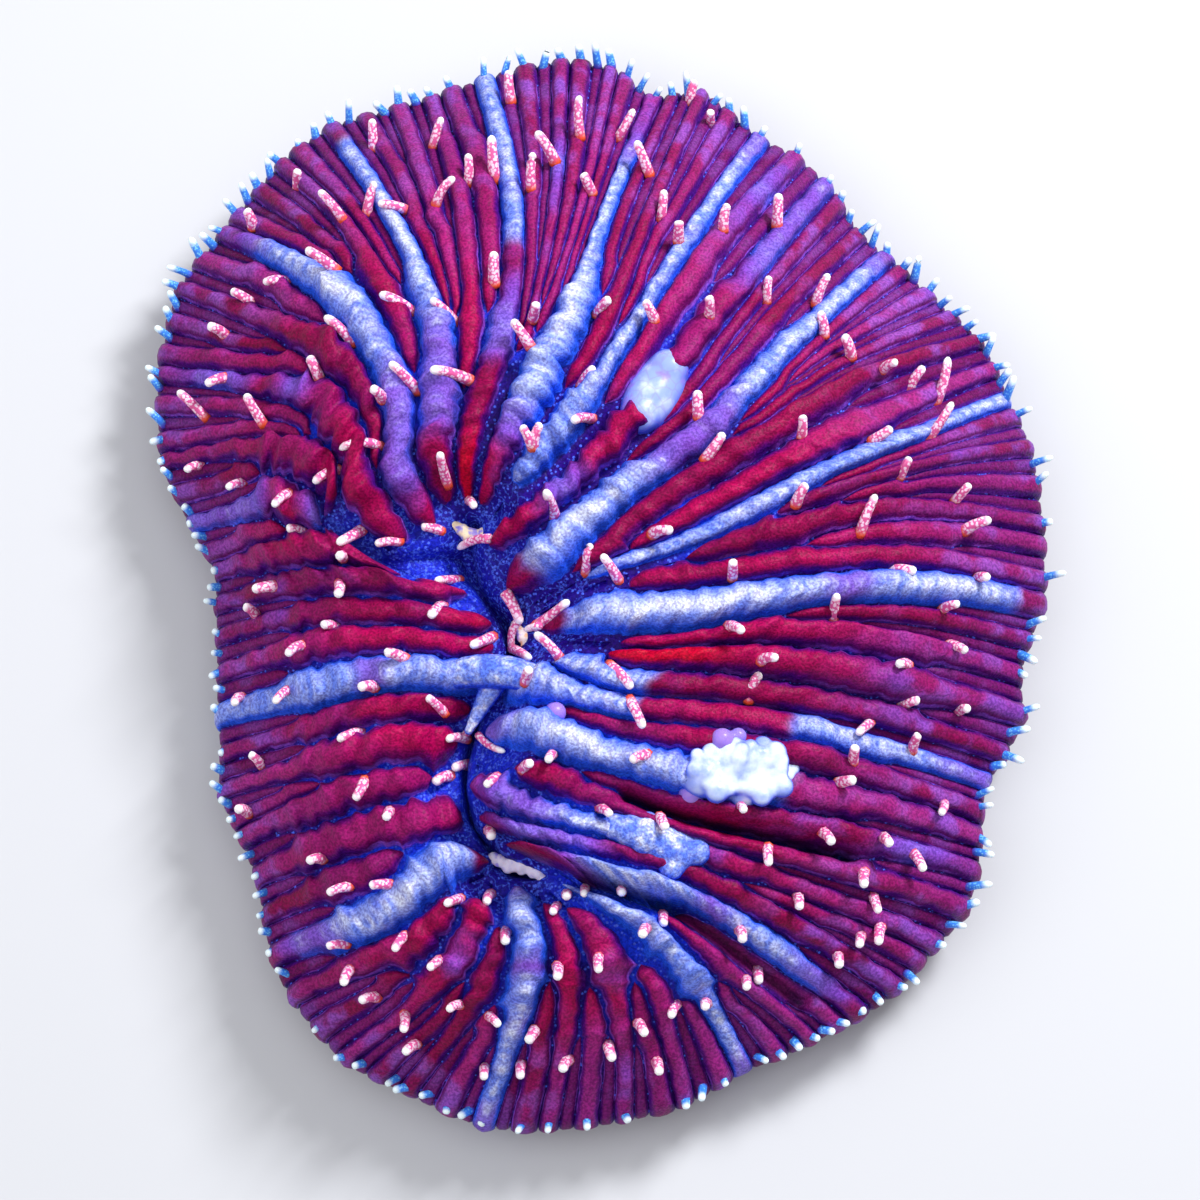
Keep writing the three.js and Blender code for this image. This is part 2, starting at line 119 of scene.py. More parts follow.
# each rib: how far along it rises, its relative width inside and at the margin, its crest
MAIN_RIBS = [
    (0, 1.8, 1.0, [(-5.2, -7.4), (0.5, -7.2), (8.5, -6.7), (18, -5), (29, -3.3), (40.3, -2.8)]),
    (0.18, 1, 0.8, [(-5.4, -6.8), (0, -5), (8, -3.7), (17, -2.3), (28, -0.6), (40.6, -0.2)]),
    (0.3, 1, 0.8, [(-5.8, -6.3), (-0.5, -4.2), (7.5, -2), (16, 0.4), (27, 4), (40.6, 5)]),
    (0.45, 1, 0.8, [(-6, -6.1), (0, -3.7), (8.5, -0.9), (18, 3.4), (29, 8), (39.8, 12.5)]),
    (0.1, 1.1, 0.8, [(-6.2, -5.9), (0, -3), (8.5, -0.2), (18, 5), (28, 10.2), (37.8, 17)]),
    (0.2, 1, 0.8, [(-6.6, -5.5), (-0.5, -2.8), (6.5, 1), (15, 5.8), (24, 11.6), (36.8, 20)]),
    (0.1, 1, 0.8, [(-7, -5.1), (-1.5, -2.6), (4, 2.5), (12.5, 8), (23, 16), (35.4, 22.8)]),
    (0, 1.6, 0.9, [(-8.2, -4), (-4, -0.6), (2.5, 4.4), (10.5, 11), (19, 20.5), (27, 31)]),
    (0.35, 1, 0.8, [(-8.8, -1.8), (-4.8, 1), (0.5, 5.4), (8, 11.5), (16.2, 22.5), (24.4, 33.2)]),
    (0, 1.4, 0.8, [(-9.8, 0.2), (-5.5, 2), (-0.5, 6.4), (5, 13), (13.5, 25), (21.6, 38.2)]),
    (0.4, 1, 0.8, [(-9.6, 2), (-6.2, 4.5), (-1.8, 8.8), (3, 16.5), (10.5, 29), (18.6, 41)]),
    (0.1, 1.1, 0.8, [(-9.5, 2.9), (-7, 5.6), (-3, 10.3), (2, 17.8), (8, 29.5), (15.2, 42.8)]),
    (0.35, 1, 0.8, [(-9.9, 3.5), (-8, 6.4), (-4.2, 12), (0.5, 19.5), (4.6, 32), (9.8, 47.8)]),
    (0, 1.7, 1.0, [(-10.6, 4), (-9, 7.6), (-6.5, 13.2), (-2.8, 20.6), (0.4, 32), (5.2, 46.9)]),
    (0.45, 1, 0.8, [(-11, 4.2), (-10, 8), (-8, 13.6), (-4.8, 21), (-1.5, 33), (1.2, 50.2)]),
    (0.4, 1, 0.8, [(-11.2, 4.3), (-10.5, 8), (-8.8, 13.8), (-6, 21), (-4, 34), (-3.6, 50.9)]),
    (0, 1.3, 0.9, [(-11.7, 4.4), (-11.6, 8), (-10, 13.4), (-7.8, 21), (-7.8, 34), (-11, 49)]),
    (0.3, 1, 0.8, [(-12.5, 4.4), (-12.8, 8), (-12, 13.6), (-11.6, 21.5), (-12.8, 33.5), (-16, 47)]),
    (0, 1.3, 0.9, [(-13.4, 4.2), (-14.4, 8.2), (-14.1, 14), (-14.8, 21.5), (-19.5, 32.5), (-25.4, 44.2)]),
    (0.35, 1, 0.8, [(-14.1, 3.2), (-16.2, 7), (-16.2, 13.4), (-18, 20.5), (-23, 31), (-30.2, 40.4)]),
    (0, 1.5, 0.9, [(-14.6, 2), (-17.6, 6), (-18, 13), (-21.4, 20.6), (-28, 27.6), (-35.4, 33.4)]),
    (0.15, 1, 0.8, [(-15.7, 0.9), (-19.3, 5.2), (-20.2, 11.5), (-23.5, 17.2), (-30, 21.8), (-39.4, 28)]),
    (0, 1.4, 0.8, [(-17.6, 0.2), (-20.8, 3.6), (-22.2, 9.6), (-25.5, 13), (-32, 16.2), (-41, 19.4)]),
    (0.2, 1, 0.8, [(-18.6, -0.4), (-22, 2.6), (-24.2, 6.6), (-28, 9.4), (-33.5, 10.6), (-40.3, 11)]),
    (0.25, 1, 0.8, [(-18.8, -1.2), (-22.4, 0.4), (-25.6, 2.8), (-29.4, 4.6), (-33, 4.8), (-37.4, 5)]),
    (0.05, 1, 0.8, [(-16, -2.4), (-19.8, -1.9), (-24, -0.6), (-27.6, 0), (-31.2, 0.6), (-34.8, 0.6)]),
    (0, 1.1, 0.8, [(-11.9, -3.9), (-15.6, -4.2), (-20, -3.4), (-24.6, -3), (-29.6, -2.8), (-34.8, -2.6)]),
    (0, 1.1, 0.8, [(-9.5, -6.9), (-13, -6.9), (-18, -6.4), (-23.4, -5.6), (-29, -5.4), (-34.6, -5.6)]),
    (0, 1, 0.8, [(-9.3, -9), (-12.8, -9.2), (-18, -8.6), (-23.6, -8.4), (-29, -8.6), (-34.4, -9)]),
    (0, 1.4, 1.1, [(-9.2, -12.1), (-12.6, -12.2), (-17.4, -11.9), (-22.6, -12.6), (-28.4, -13),
                   (-34.3, -12.9)]),
    (0, 1, 0.8, [(-11.4, -14.8), (-14, -14.8), (-18.4, -14.6), (-23, -15), (-28, -15.8), (-33.9, -16.4)]),
    (0, 1.2, 0.8, [(-12.4, -17.4), (-15, -17.4), (-19.4, -18.2), (-24, -19), (-28.8, -19.6), (-34.1, -20)]),
    (0.1, 1, 0.8, [(-12.6, -20.2), (-15, -20.8), (-18.8, -21.4), (-23, -22), (-27.6, -22.8), (-32, -24)]),
    (0, 1.1, 0.8, [(-12, -24.2), (-14.2, -24.6), (-17.6, -25), (-21.6, -25.6), (-26, -26.6),
                   (-30.4, -27.6)]),
    (0.3, 1, 0.8, [(-10.8, -26.4), (-13.6, -26.2), (-17, -27.4), (-20.8, -28.8), (-25.2, -30),
                   (-29.8, -31.2)]),
    (0, 1.3, 0.9, [(-9.6, -28.1), (-12.4, -27.7), (-15, -29.8), (-18, -32.6), (-23.4, -33.6),
                   (-29, -34.6)]),
    (0.2, 1, 0.8, [(-10, -29.3), (-12, -30.4), (-13.6, -32.8), (-16.8, -35), (-21.8, -37), (-27.2, -38.4)]),
    (0.1, 1, 0.8, [(-9.2, -29.9), (-10.2, -32), (-11, -35), (-13.2, -38), (-17.2, -41), (-22.4, -44)]),
    (0.2, 1, 0.8, [(-8.4, -30.2), (-8.6, -32.4), (-8.8, -35.6), (-10.4, -39), (-13.2, -42.8),
                   (-16.8, -46.6)]),
    (0, 1.4, 0.9, [(-7.2, -30.2), (-6.8, -32.4), (-6, -35.6), (-6.3, -39.4), (-8, -44), (-10.2, -49.6)]),
    (0.1, 1, 0.8, [(-6, -30), (-4.6, -32.2), (-3.2, -35.4), (-2.7, -39.4), (-3.2, -44), (-4.4, -49.8)]),
    (0.15, 1, 0.8, [(-5.3, -29.8), (-3.2, -31.8), (-0.6, -35), (1.2, -39), (2.2, -43.6), (2.2, -49)]),
    (0.45, 1, 0.8, [(-4.9, -29.6), (-2.2, -31.4), (1.4, -34.2), (4.2, -38), (6, -42.4), (7.6, -47.6)]),
    (0.05, 1.1, 0.8, [(-4.5, -29.4), (-1.4, -31.2), (3, -33.4), (6.6, -36), (9.6, -39.8), (12.7, -44.6)]),
    (0.35, 1, 0.8, [(-4.2, -29.1), (-0.6, -30.7), (4.4, -32.6), (8.4, -34.9), (13.2, -38.6),
                    (18.8, -42.2)]),
    (0, 1.3, 0.9, [(-8, -26.9), (-4.5, -28.2), (0.5, -29.6), (7, -31), (14, -34.6), (22.8, -40)]),
    (0, 1.1, 0.8, [(-10.4, -24.6), (-7.2, -26), (-1.8, -27.2), (5.5, -28.8), (15.5, -32.6), (26.4, -37.6)]),
    (0, 1.2, 0.8, [(-11.3, -21.6), (-8, -23.8), (-2.4, -25.4), (5.4, -27), (17, -30), (29.8, -33.8)]),
    (0.1, 1, 0.8, [(-10.7, -19.4), (-6.6, -20.9), (-0.5, -22.9), (7.5, -25.6), (19, -28.4), (32.6, -30.6)]),
    (0.25, 1, 0.8, [(-10.3, -18.2), (-6, -19.4), (0.4, -21.6), (8.8, -24.4), (20, -25.2), (33.9, -27)]),
    (0, 1.6, 0.9, [(-10, -16.8), (-5.6, -16.9), (0.6, -19.6), (9, -21.4), (21, -22.6), (34, -24.2)]),
    (0.15, 1, 0.8, [(-9.6, -15.2), (-4.8, -15.2), (2, -17), (10.4, -18.2), (22, -19.8), (34.3, -21.6)]),
    (0, 1.3, 0.9, [(-8, -11.6), (-4.6, -13.2), (1.4, -15.2), (9.4, -15.6), (21.4, -16.8), (34.8, -19)]),
    (0.1, 1, 0.8, [(-6.8, -9.9), (-3.4, -11.4), (2.6, -13.2), (10.6, -13.8), (22, -14.6), (36.4, -16.6)]),
    (0.2, 1, 0.8, [(-6.1, -9), (-2.2, -10.2), (4.4, -10.8), (13, -10.8), (24.5, -11.8), (38.3, -12.8)]),
    (0.2, 1, 0.8, [(-5.6, -8.4), (-1.4, -9.3), (6, -9.5), (15.2, -8.4), (26, -7.9), (38, -9)]),
    (0.5, 1, 0.8, [(-5.3, -7.9), (-0.6, -8.8), (7, -8.7), (16.4, -6.9), (27.5, -6), (39, -6)]),
]
print("main ribs:", len(MAIN_RIBS))

# %% [markdown]
# ## Colour along each rib
# On the animal most ribs are crimson, but some are pale or change colour along their
# length. Each main rib below has eleven letters, from the furrow to the margin: C crimson,
# R bright red, M magenta, L lavender, B blue, P pale and W white. A painter would block in
# a map like this first, and the tissue material later blurs it with fine mottling.

# %% Colour letters
#          pale, lilac, white, red
LETTERS = {"C": (0, 0, 0, 0), "R": (0, 0, 0, 1), "M": (0, 0.35, 0, 0), "L": (0.5, 1, 0.1, 0),
           "B": (1, 0, 0, 0), "P": (1, 0.25, 0.5, 0), "W": (1, 0.1, 1, 0)}
RIB_COLOURS = {
    0: "MPWWWPLPWPM", 3: "CCCCCMMCMMM", 4: "CBPBPPBBPPP", 7: "MPWPLLPPPPL", 9: "CMLMCCCMLLL",
    10: "CCCCMCCCMLM", 11: "CBBBPPPPPPL", 13: "CMLPPWPPPLM", 15: "CCCCCMMMLMM", 16: "RRCCLLMPPPP",
    18: "CCLLLPPWPPM", 20: "CLLLPPWPPLM", 22: "CCCCCMLMLLM", 24: "CMLLMMLLLLL", 26: "RRCCMMCMMMM",
    27: "CRCCCCCMMMM", 29: "PPPPLBBBBBP", 30: "CCCCMMCMMMM", 35: "MPPPWPPPLLM", 37: "MMCMMMCCMMM",
    39: "LPPPLPPPPPL", 41: "MMCCMMMCMMM", 43: "PBPPPPBBPPL", 45: "CMLPPPLPPLM", 46: "MLLLMCCCMMM",
    47: "MLLPWPMCCMM", 49: "CMMCCCMMMLM", 50: "LPWWPPPCCMM", 52: "WPPPCCCPPPL", 53: "PPPPMCCCMMM",
    54: "MMRRRCCCMMM",
}
PLAIN_RIB = "CCCCCCCCCCM"


def colour_along(letters, t):
    """Pale, lilac, white and red amounts at every t, from a rib's letters."""
    values = np.array([LETTERS[letter] for letter in letters])
    places = np.linspace(0, 1, len(letters))
    return [np.interp(t, places, values[:, k]) for k in range(4)]


print("ribs with their own colours:", len(RIB_COLOURS))


# %% [markdown]
# ## Curves, and the ribs between
# A smooth curve goes through the six stations of each main rib. Later ribs share out the
# gap to the next main rib. Each is nothing before it rises, then it begins as a small
# rounded bulb and widens slowly, as on the animal. Every second one stays narrow and low.

# %% Curves through the stations
def station_curve(values, t):
    """A smooth curve through the values at the stations, read at every t."""
    values = np.asarray(values, float)
    i = np.clip(np.searchsorted(STATIONS, t, side="right") - 1, 0, len(STATIONS) - 2)
    lo = np.maximum(np.arange(len(STATIONS)) - 1, 0)
    hi = np.minimum(np.arange(len(STATIONS)) + 1, len(STATIONS) - 1)
    slopes = (values[hi] - values[lo]) / (STATIONS[hi] - STATIONS[lo])
    span = STATIONS[i + 1] - STATIONS[i]
    x = (t - STATIONS[i]) / span
    a, b, rise = slopes[i] * span, slopes[i + 1] * span, values[i + 1] - values[i]
    return values[i] + x * (a + x * (3 * rise - 2 * a - b + x * (a + b - 2 * rise)))


def rounded_rise(x):
    """0 at 0 and 1 from 1 on, round like the end of a finger."""
    return np.sqrt(1 - (1 - np.clip(x, 0, 1)) ** 2)


def unevenness(n):
    """A repeatable number between 0 and 1 for the natural unevenness of the ribs."""
    s = math.sin(n * 12.9898) * 43758.5453
    return s - math.floor(s)


# %% Rows along the ribs, and every rib's width
ROW_COUNT = 124
RIM_ROWS = [0.972, 0.986, 0.995, 1.0]
rows = np.append(0.955 * np.linspace(0, 1, ROW_COUNT - len(RIM_ROWS)) ** 1.25, RIM_ROWS)
RIB_PITCH = 1.75


def rib_widths(rib):
    """Relative width of a rib at every row."""
    full = rib["inner"] + (rib["outer"] - rib["inner"]) * rows
    if rib["start"] == 0:
        return full
    past = rows - rib["start"]
    return full * (0.4 * rounded_rise(past / 0.05) + 0.6 * rounded_rise(past / 0.4) ** 1.5)


mains = []
for number, (start, inner, outer, places) in enumerate(MAIN_RIBS):
    points = np.array(places)
    mains.append({
        "number": number, "start": start, "inner": inner, "outer": outer, "narrow": False,
        "crest": np.stack([station_curve(points[:, k], rows) for k in (0, 1)], 1),
        "ends": points[[0, -1]],
        "length": np.linalg.norm(np.diff(points, axis=0), axis=1).sum(),
    })
for number, (a, b) in enumerate(zip(mains, mains[1:] + mains[:1]), start=1):
    gap = np.linalg.norm(a["ends"][1] - b["ends"][1])
    count = max(0, math.floor(gap / RIB_PITCH + 0.5) - 1)
    a["between"] = []
    for j in range(count):
        narrow = j % 2 == 0
        start = (0.6 if narrow else 0.42) + 0.28 * unevenness(number * 7 + j)
        width = (0.5 if narrow else 0.85) + 0.2 * unevenness(number * 11 + j)
        a["between"].append({"start": start, "inner": width, "outer": width, "narrow": narrow,
                             "number": 100 + number * 5 + j})
print("ribs at the margin:", sum(1 + len(a["between"]) for a in mains))


# %% Where each rib lies: its left foot, crest and right foot in plan, in millimetres
def laid_between(a, b, share):
    """Places and rib length on the way from main rib a to main rib b."""
    place = a["crest"] + (b["crest"] - a["crest"]) * share[:, None]
    return place, a["length"] + (b["length"] - a["length"]) * share


ribs = []
sectors = []
for a, b in zip(mains, mains[1:] + mains[:1]):
    widths = [rib_widths(rib) for rib in a["between"]]
    half = rib_widths(a) / 2
    total = half + sum(widths, np.zeros(ROW_COUNT)) + rib_widths(b) / 2
    safe_total = np.where(total > 0, total, 1)
    run, feet = half, []
    for width in widths + [0]:
        feet.append(laid_between(a, b, np.where(total > 0, run / safe_total, 1)))
        run = run + width
    sectors.append(feet)
for i, a in enumerate(mains):
    left, right = sectors[i - 1][-1], sectors[i][0]
    crest = (a["crest"], np.full(ROW_COUNT, a["length"]))
    ribs.append({"rib": a, "left": left, "crest": crest, "right": right, "main": True})
    for j, rib in enumerate(a["between"]):
        left, right = sectors[i][j], sectors[i][j + 1]
        crest = tuple((lo + hi) / 2 for lo, hi in zip(left, right))
        ribs.append({"rib": rib, "left": left, "crest": crest, "right": right, "main": False})
print("ribs laid:", len(ribs))


# %% [markdown]
# ## Heights
# The ground between the ribs is a dome that is level in the middle, drops into the mouth
# furrow and is cut by two deep folds. Ribs stand on it as tall as they are wide allows.
# A few places are swollen with water, and lift the ribs on them.

# %% The ground, the folds and the swellings
MARGIN_HEIGHT, DOME_RISE, DOME_REACH = 5.2, 14.0, 30.0
FURROW_DEPTH, FURROW_REACH = 3.4, 3.2
RIB_RISE, RIB_MAX_RISE, NOSE_LENGTH = 0.66, 2.7, 1.9
# depth and reach in mm, the two ribs it lies between, and the part of their length
FOLDS = [(3.4, 0.8, 44, 45, 0.16, 0.9), (3.0, 0.7, 48, 49, 0.36, 0.8)]
# middle in plan, radius and rise, in mm
SWELLINGS = [(19, -18.3, 2.4, 1.6), (12, -20.5, 4.5, 1.2), (4.6, 13.6, 2.6, 0.8), (25, -23.4, 2.2, 0.8)]


def distance_to_line(places, line):
    """Distance in plan from every place to a line of points."""
    best = np.full(len(places), 1e9)
    for p, q in zip(line[:-1], line[1:]):
        p, q = np.array(p), np.array(q)
        along = np.clip(((places - p) @ (q - p)) / ((q - p) @ (q - p)), 0, 1)
        best = np.minimum(best, np.linalg.norm(places - p - along[:, None] * (q - p), axis=1))
    return best


fold_lines = []
for depth, reach, first, second, start, stop in FOLDS:
    halfway = (mains[first]["crest"] + mains[second]["crest"]) / 2
    fold_lines.append((depth, reach, halfway[(rows > start) & (rows < stop)][::3]))


def fold_share(places):
    """How deep in a fold each place is, from 0 outside to 1 at the bottom."""
    shares = [np.exp(-((distance_to_line(places, line) / reach) ** 2)) for _, reach, line in fold_lines]
    return np.max(shares, axis=0)


def ground_height(t, length, places):
    """Height of the ground between the ribs."""
    inside = np.clip((1 - t) * length / DOME_REACH, 0, 1)
    height = MARGIN_HEIGHT + DOME_RISE * (1 - (1 - inside) ** 2.2)
    height = height - FURROW_DEPTH * np.exp(-((t * length / FURROW_REACH) ** 2))
    for depth, reach, line in fold_lines:
        height = height - depth * np.exp(-((distance_to_line(places, line) / reach) ** 2))
    for x, y, radius, rise in SWELLINGS:
        away = np.hypot(places[:, 0] - x, places[:, 1] - y) / radius
        height = height + rise * np.exp(-(away ** 3))
    return height


# %% [markdown]
# ## One strip per rib
# A rib could be a bevelled curve, but then its feet would not meet its neighbour's. A flat
# grid laid over the rib from valley to valley shares those edges, so the strips weld into
# one skin. Three blank grids are added, for broad, middling and fine ribs, and each rib
# gets a copy with its own mesh, bent to the rib's line and cross-section.

# %% Cross-sections, from valley (1) to foot (FOOT) to crest (0) and back
FOOT = 0.9
SECTIONS = {
    "broad": np.array([-1, -FOOT, -0.82, -0.66, -0.36, 0, 0.36, 0.66, 0.82, FOOT, 1]),
    "middling": np.array([-1, -FOOT, -0.68, -0.25, 0.25, 0.68, FOOT, 1]),
    "fine": np.array([-1, -FOOT, -0.45, 0.45, FOOT, 1]),
}
blanks = {}
for size, section in SECTIONS.items():
    bpy.ops.object.select_all(action="DESELECT")
    bpy.ops.mesh.primitive_grid_add(x_subdivisions=len(section) - 1, y_subdivisions=ROW_COUNT - 1, size=2)
    blanks[size] = bpy.context.object
    blanks[size].name = "blank_" + size
    print(size, "blank:", len(blanks[size].data.vertices), "points")


def rib_profile(u):
    """Height across a rib, 1 on the crest and 0 at its feet, with plump upright sides."""
    return np.clip(1 - (abs(u) / FOOT) ** 2.6, 0, 1) ** 0.58


def ripple(along, length, seed):
    """An uneven wave along a rib, about -1 to 1, whose bumps are about that length."""
    turn = along * 2 * math.pi / length
    long_wave = np.sin(turn + 6.3 * unevenness(seed))
    short_wave = np.sin(1.7 * turn + 6.3 * unevenness(seed + 1))
    return (long_wave + 0.6 * short_wave) / 1.6


# %% How uneven each rib is
# ribs that are more frilled than most, by number, and how much
PLAIN_MAIN_FRILL, PLAIN_LATER_FRILL = 0.5, 0.4
FRILLY_RIBS = {7: 0.8, 9: 1.0, 11: 0.8, 13: 1.1, 16: 0.5, 18: 0.7, 20: 0.6, 21: 1.1, 22: 1.3, 23: 1.3,
               24: 1.2, 45: 0.5, 46: 1.1, 47: 1.2, 48: 0.9, 49: 1.0, 50: 0.8,
               **{number: 0.95 for number in range(25, 39) if number not in (29, 35)}}
# ribs that are slimmer than their share of room over their inner half
SLIM_RIBS = {9: 0.7, 11: 0.85, 43: 0.72, 45: 0.85, 47: 0.85}
# ribs sink away under the two blisters: middle and half sizes in plan
BLISTERS = [(4.9, 13.4, 3.4, 2.6), (12.4, -21, 4.4, 2.6)]
# lengths in mm of the waves along a rib: its sway, small bends, lumps, lobes and scallops
SWAY_WAVE, BEND_WAVE, LUMP_WAVE, LOBE_WAVE, SCALLOP_WAVE = 6.5, 3.6, 3.4, 2.6, 1.5
NARROW_LOW, LATER_LOW = 0.62, 0.92


def swayed(item, along, to_rim, inner_zone, frill, seed):
    """A rib's crest in plan, moved from side to side between its feet."""
    crest, across = item["crest"][0], item["right"][0] - item["left"][0]
    north_west = np.exp(-(((crest[:, 0] + 24) / 9) ** 2) - (((crest[:, 1] - 10) / 10) ** 2))
    sway = (0.07 + 0.06 * inner_zone + 0.2 * north_west) * ripple(along, SWAY_WAVE, seed)
    sway = sway + 0.08 * frill * ripple(along, BEND_WAVE, seed + 3)
    return crest + across * (sway * np.clip(along / 4, 0, 1) * np.clip(to_rim / 3, 0, 1))[:, None]


def rise_along(item, crest, width, along, to_rim, inner_zone, frill, seed):
    """A rib's height above the ground at every row."""
    rib = item["rib"]
    nose = rounded_rise((rows - rib["start"]) * item["crest"][1] / NOSE_LENGTH)
    lumps = 1 + (0.04 + 0.06 * inner_zone + 0.1 * frill) * ripple(along, LUMP_WAVE, seed + 6)
    lumps = lumps * (1 + 0.12 * unevenness(seed + 2))
    rim_round = 0.35 + 0.65 * rounded_rise(to_rim / 1.1)
    low = NARROW_LOW if rib["narrow"] else 1.0 if item["main"] else LATER_LOW
    rise = np.minimum(RIB_MAX_RISE, RIB_RISE * width) * nose * lumps * low * rim_round
    rise = np.where(rib_widths(rib) > 0, rise, 0)
    for x, y, half_x, half_y in BLISTERS:
        away = np.hypot((crest[:, 0] - x) / half_x, (crest[:, 1] - y) / half_y)
        rise = rise * (1 - 0.85 * np.exp(-(away ** 4)))
    return rise


def foot_reach(item, width):
    """How far a rib's body reaches out to the valley, from 0 to 1, at every row."""
    rib, (crest, crest_len) = item["rib"], item["crest"]
    south = np.clip((-22 - crest[:, 1]) / 8, 0, 1) * np.clip((14 - np.abs(crest[:, 0] + 4)) / 6, 0, 1)
    end_width = width[np.searchsorted(rows, rib["start"])]
    blunt = rounded_rise((rows - rib["start"]) * crest_len / max(NOSE_LENGTH, 0.75 * end_width))
    share = np.clip(0.92 + 0.06 * rows - 0.16 * south * (1 - rows), 0.5, 0.97) * np.maximum(0.25, blunt)
    slim = SLIM_RIBS.get(rib["number"], 1.0)
    return share * (slim + (1 - slim) * rounded_rise((rows - 0.55) / 0.3))


print("frilled ribs:", len(FRILLY_RIBS), "slim ribs:", len(SLIM_RIBS))

# %% Laying the strips
strips = []
for item in ribs:
    rib, main, seed = item["rib"], item["main"], item["rib"]["number"] * 13 + 5
    (left, left_len), (_, crest_len), (right, right_len) = item["left"], item["crest"], item["right"]
    if main:
        size = "broad" if rib["start"] < 0.25 else "middling"
    else:
        size = "fine" if rib["narrow"] else "middling"
    section = SECTIONS[size]
    width = np.linalg.norm(right - left, axis=1)
    along = rows * crest_len
    to_rim = (1 - rows) * crest_len
    inner_zone = np.exp(-((along / 24) ** 2))
    frill = FRILLY_RIBS.get(rib["number"], PLAIN_MAIN_FRILL if main else PLAIN_LATER_FRILL)
    foot_share = foot_reach(item, width)
    crest = swayed(item, along, to_rim, inner_zone, frill, seed)
    rise = rise_along(item, crest, width, along, to_rim, inner_zone, frill, seed)
    grid = np.zeros((ROW_COUNT, len(section), 3))
    across_value = np.ones((ROW_COUNT, len(section)))
    fold_value = np.zeros((ROW_COUNT, len(section)))
    for k, u in enumerate(section):
        foot, foot_len = (left, left_len) if u < 0 else (right, right_len)
        reach = np.full(ROW_COUNT, abs(u))
        if abs(u) < 1:
            side = 9 if u < 0 else 12
            lobes = 1 + (0.04 + 0.11 * frill) * ripple(along, LOBE_WAVE, seed + side)
            lobes = lobes + (0.02 + 0.04 * frill) * ripple(along, SCALLOP_WAVE, seed + side + 3)
            reach = np.minimum(abs(u) / FOOT * foot_share * lobes, 0.985)
        place = crest + (foot - crest) * reach[:, None]
        rim_bulge = 0.5 * math.sqrt(max(0.0, 1 - u * u))
        bulge = rim_bulge * np.clip(width / 1.7, 0, 1.4) * (1 - np.clip(to_rim / 1.3, 0, 1))
        outward = place / np.linalg.norm(place, axis=1)[:, None]
        grid[:, k, :2] = place + outward * bulge[:, None]
        length = crest_len + (foot_len - crest_len) * reach
        grid[:, k, 2] = ground_height(rows, length, place) + rise * rib_profile(u)
        across_value[:, k] = np.where(rise > 0.02, abs(u), 1)
        fold_value[:, k] = fold_share(place)
    colours = colour_along(RIB_COLOURS.get(rib["number"], PLAIN_RIB) if main else PLAIN_RIB, rows)
    strips.append({"size": size, "grid": grid, "across": across_value, "fold": fold_value,
                   "along": along, "colours": colours, "tone": unevenness(seed + 20),
                   "narrow": 1.0 if rib["narrow"] else 0.0})
every_place = np.concatenate([s["grid"].reshape(-1, 3) for s in strips])
middle = (every_place.min(0) + every_place.max(0)) / 2
print("ribs span, mm:", every_place.max(0) - every_place.min(0))

# %% From millimetres in plan to the CAD box
box_middle = (coral_low + coral_high) / 2
LIP_ROOM = 0.99
plan_scale = (coral_high[1] - coral_low[1]) / np.ptp(every_place[:, 1]) * LIP_ROOM


def settled(places):
    """Places in the plan's millimetres, moved to the CAD's box, in metres."""
    places = np.asarray(places, float)
    out = np.zeros((len(places), 3))
    out[:, 0] = (places[:, 0] - middle[0]) * plan_scale + box_middle[0]
    out[:, 1] = (places[:, 1] - middle[1]) * plan_scale + box_middle[1]
    out[:, 2] = places[:, 2] * MM + coral_low[2]
    return out


bpy.ops.object.select_all(action="DESELECT")
strip_objects = []
for number, strip in enumerate(strips):
    piece = blanks[strip["size"]].copy()
    piece.data = blanks[strip["size"]].data.copy()
    piece.name = f"rib_{number:03d}"
    bpy.context.collection.objects.link(piece)
    piece.data.vertices.foreach_set("co", settled(strip["grid"].reshape(-1, 3)).ravel())
    columns = strip["grid"].shape[1]
    pale, lilac, white, red = (np.repeat(colour, columns) for colour in strip["colours"])
    carried = {
        "across": strip["across"].ravel(), "fold": strip["fold"].ravel(), "margin": np.repeat(rows, columns),
        "along": np.repeat(strip["along"], columns), "tone": np.full(ROW_COUNT * columns, strip["tone"]),
        "narrow": np.full(ROW_COUNT * columns, strip["narrow"]),
        "pale": pale, "lilac": lilac, "white": white, "red": red,
    }
    for name, numbers in carried.items():
        piece.data.attributes.new(name, "FLOAT", "POINT").data.foreach_set("value", numbers)
    strip_objects.append(piece)
for blank in blanks.values():
    bpy.data.objects.remove(blank)
print("strips laid:", len(strip_objects))

# %% [markdown]
# ## One closed skin
# The strips are joined and their shared edges merged. The open loop at the furrow is drawn
# in and down to a slit, and the open loop at the margin is extruded over the lip, back
# under, and in to the flat face that the coral rests on.

# %% Joining the strips
bpy.ops.object.select_all(action="DESELECT")
for piece in strip_objects:
    piece.select_set(True)
bpy.context.view_layer.objects.active = strip_objects[0]
bpy.ops.object.join()
flesh = bpy.context.object
flesh.name = "living_coral"
bpy.ops.object.mode_set(mode="EDIT")
bpy.ops.mesh.select_all(action="SELECT")
bpy.ops.mesh.remove_doubles(threshold=2e-6)
bpy.ops.mesh.dissolve_degenerate(threshold=1e-6)
bpy.ops.object.mode_set(mode="OBJECT")
print("skin:", len(flesh.data.vertices), "points,", len(flesh.data.polygons), "faces")


# %% The two open loops
def open_edges(mesh):
    """Numbers of the edges that have a face on one side only."""
    uses = np.zeros(len(mesh.edges), int)
    edge_of_loop = np.zeros(len(mesh.loops), int)
    mesh.loops.foreach_get("edge_index", edge_of_loop)
    np.add.at(uses, edge_of_loop, 1)
    return np.flatnonzero(uses == 1)


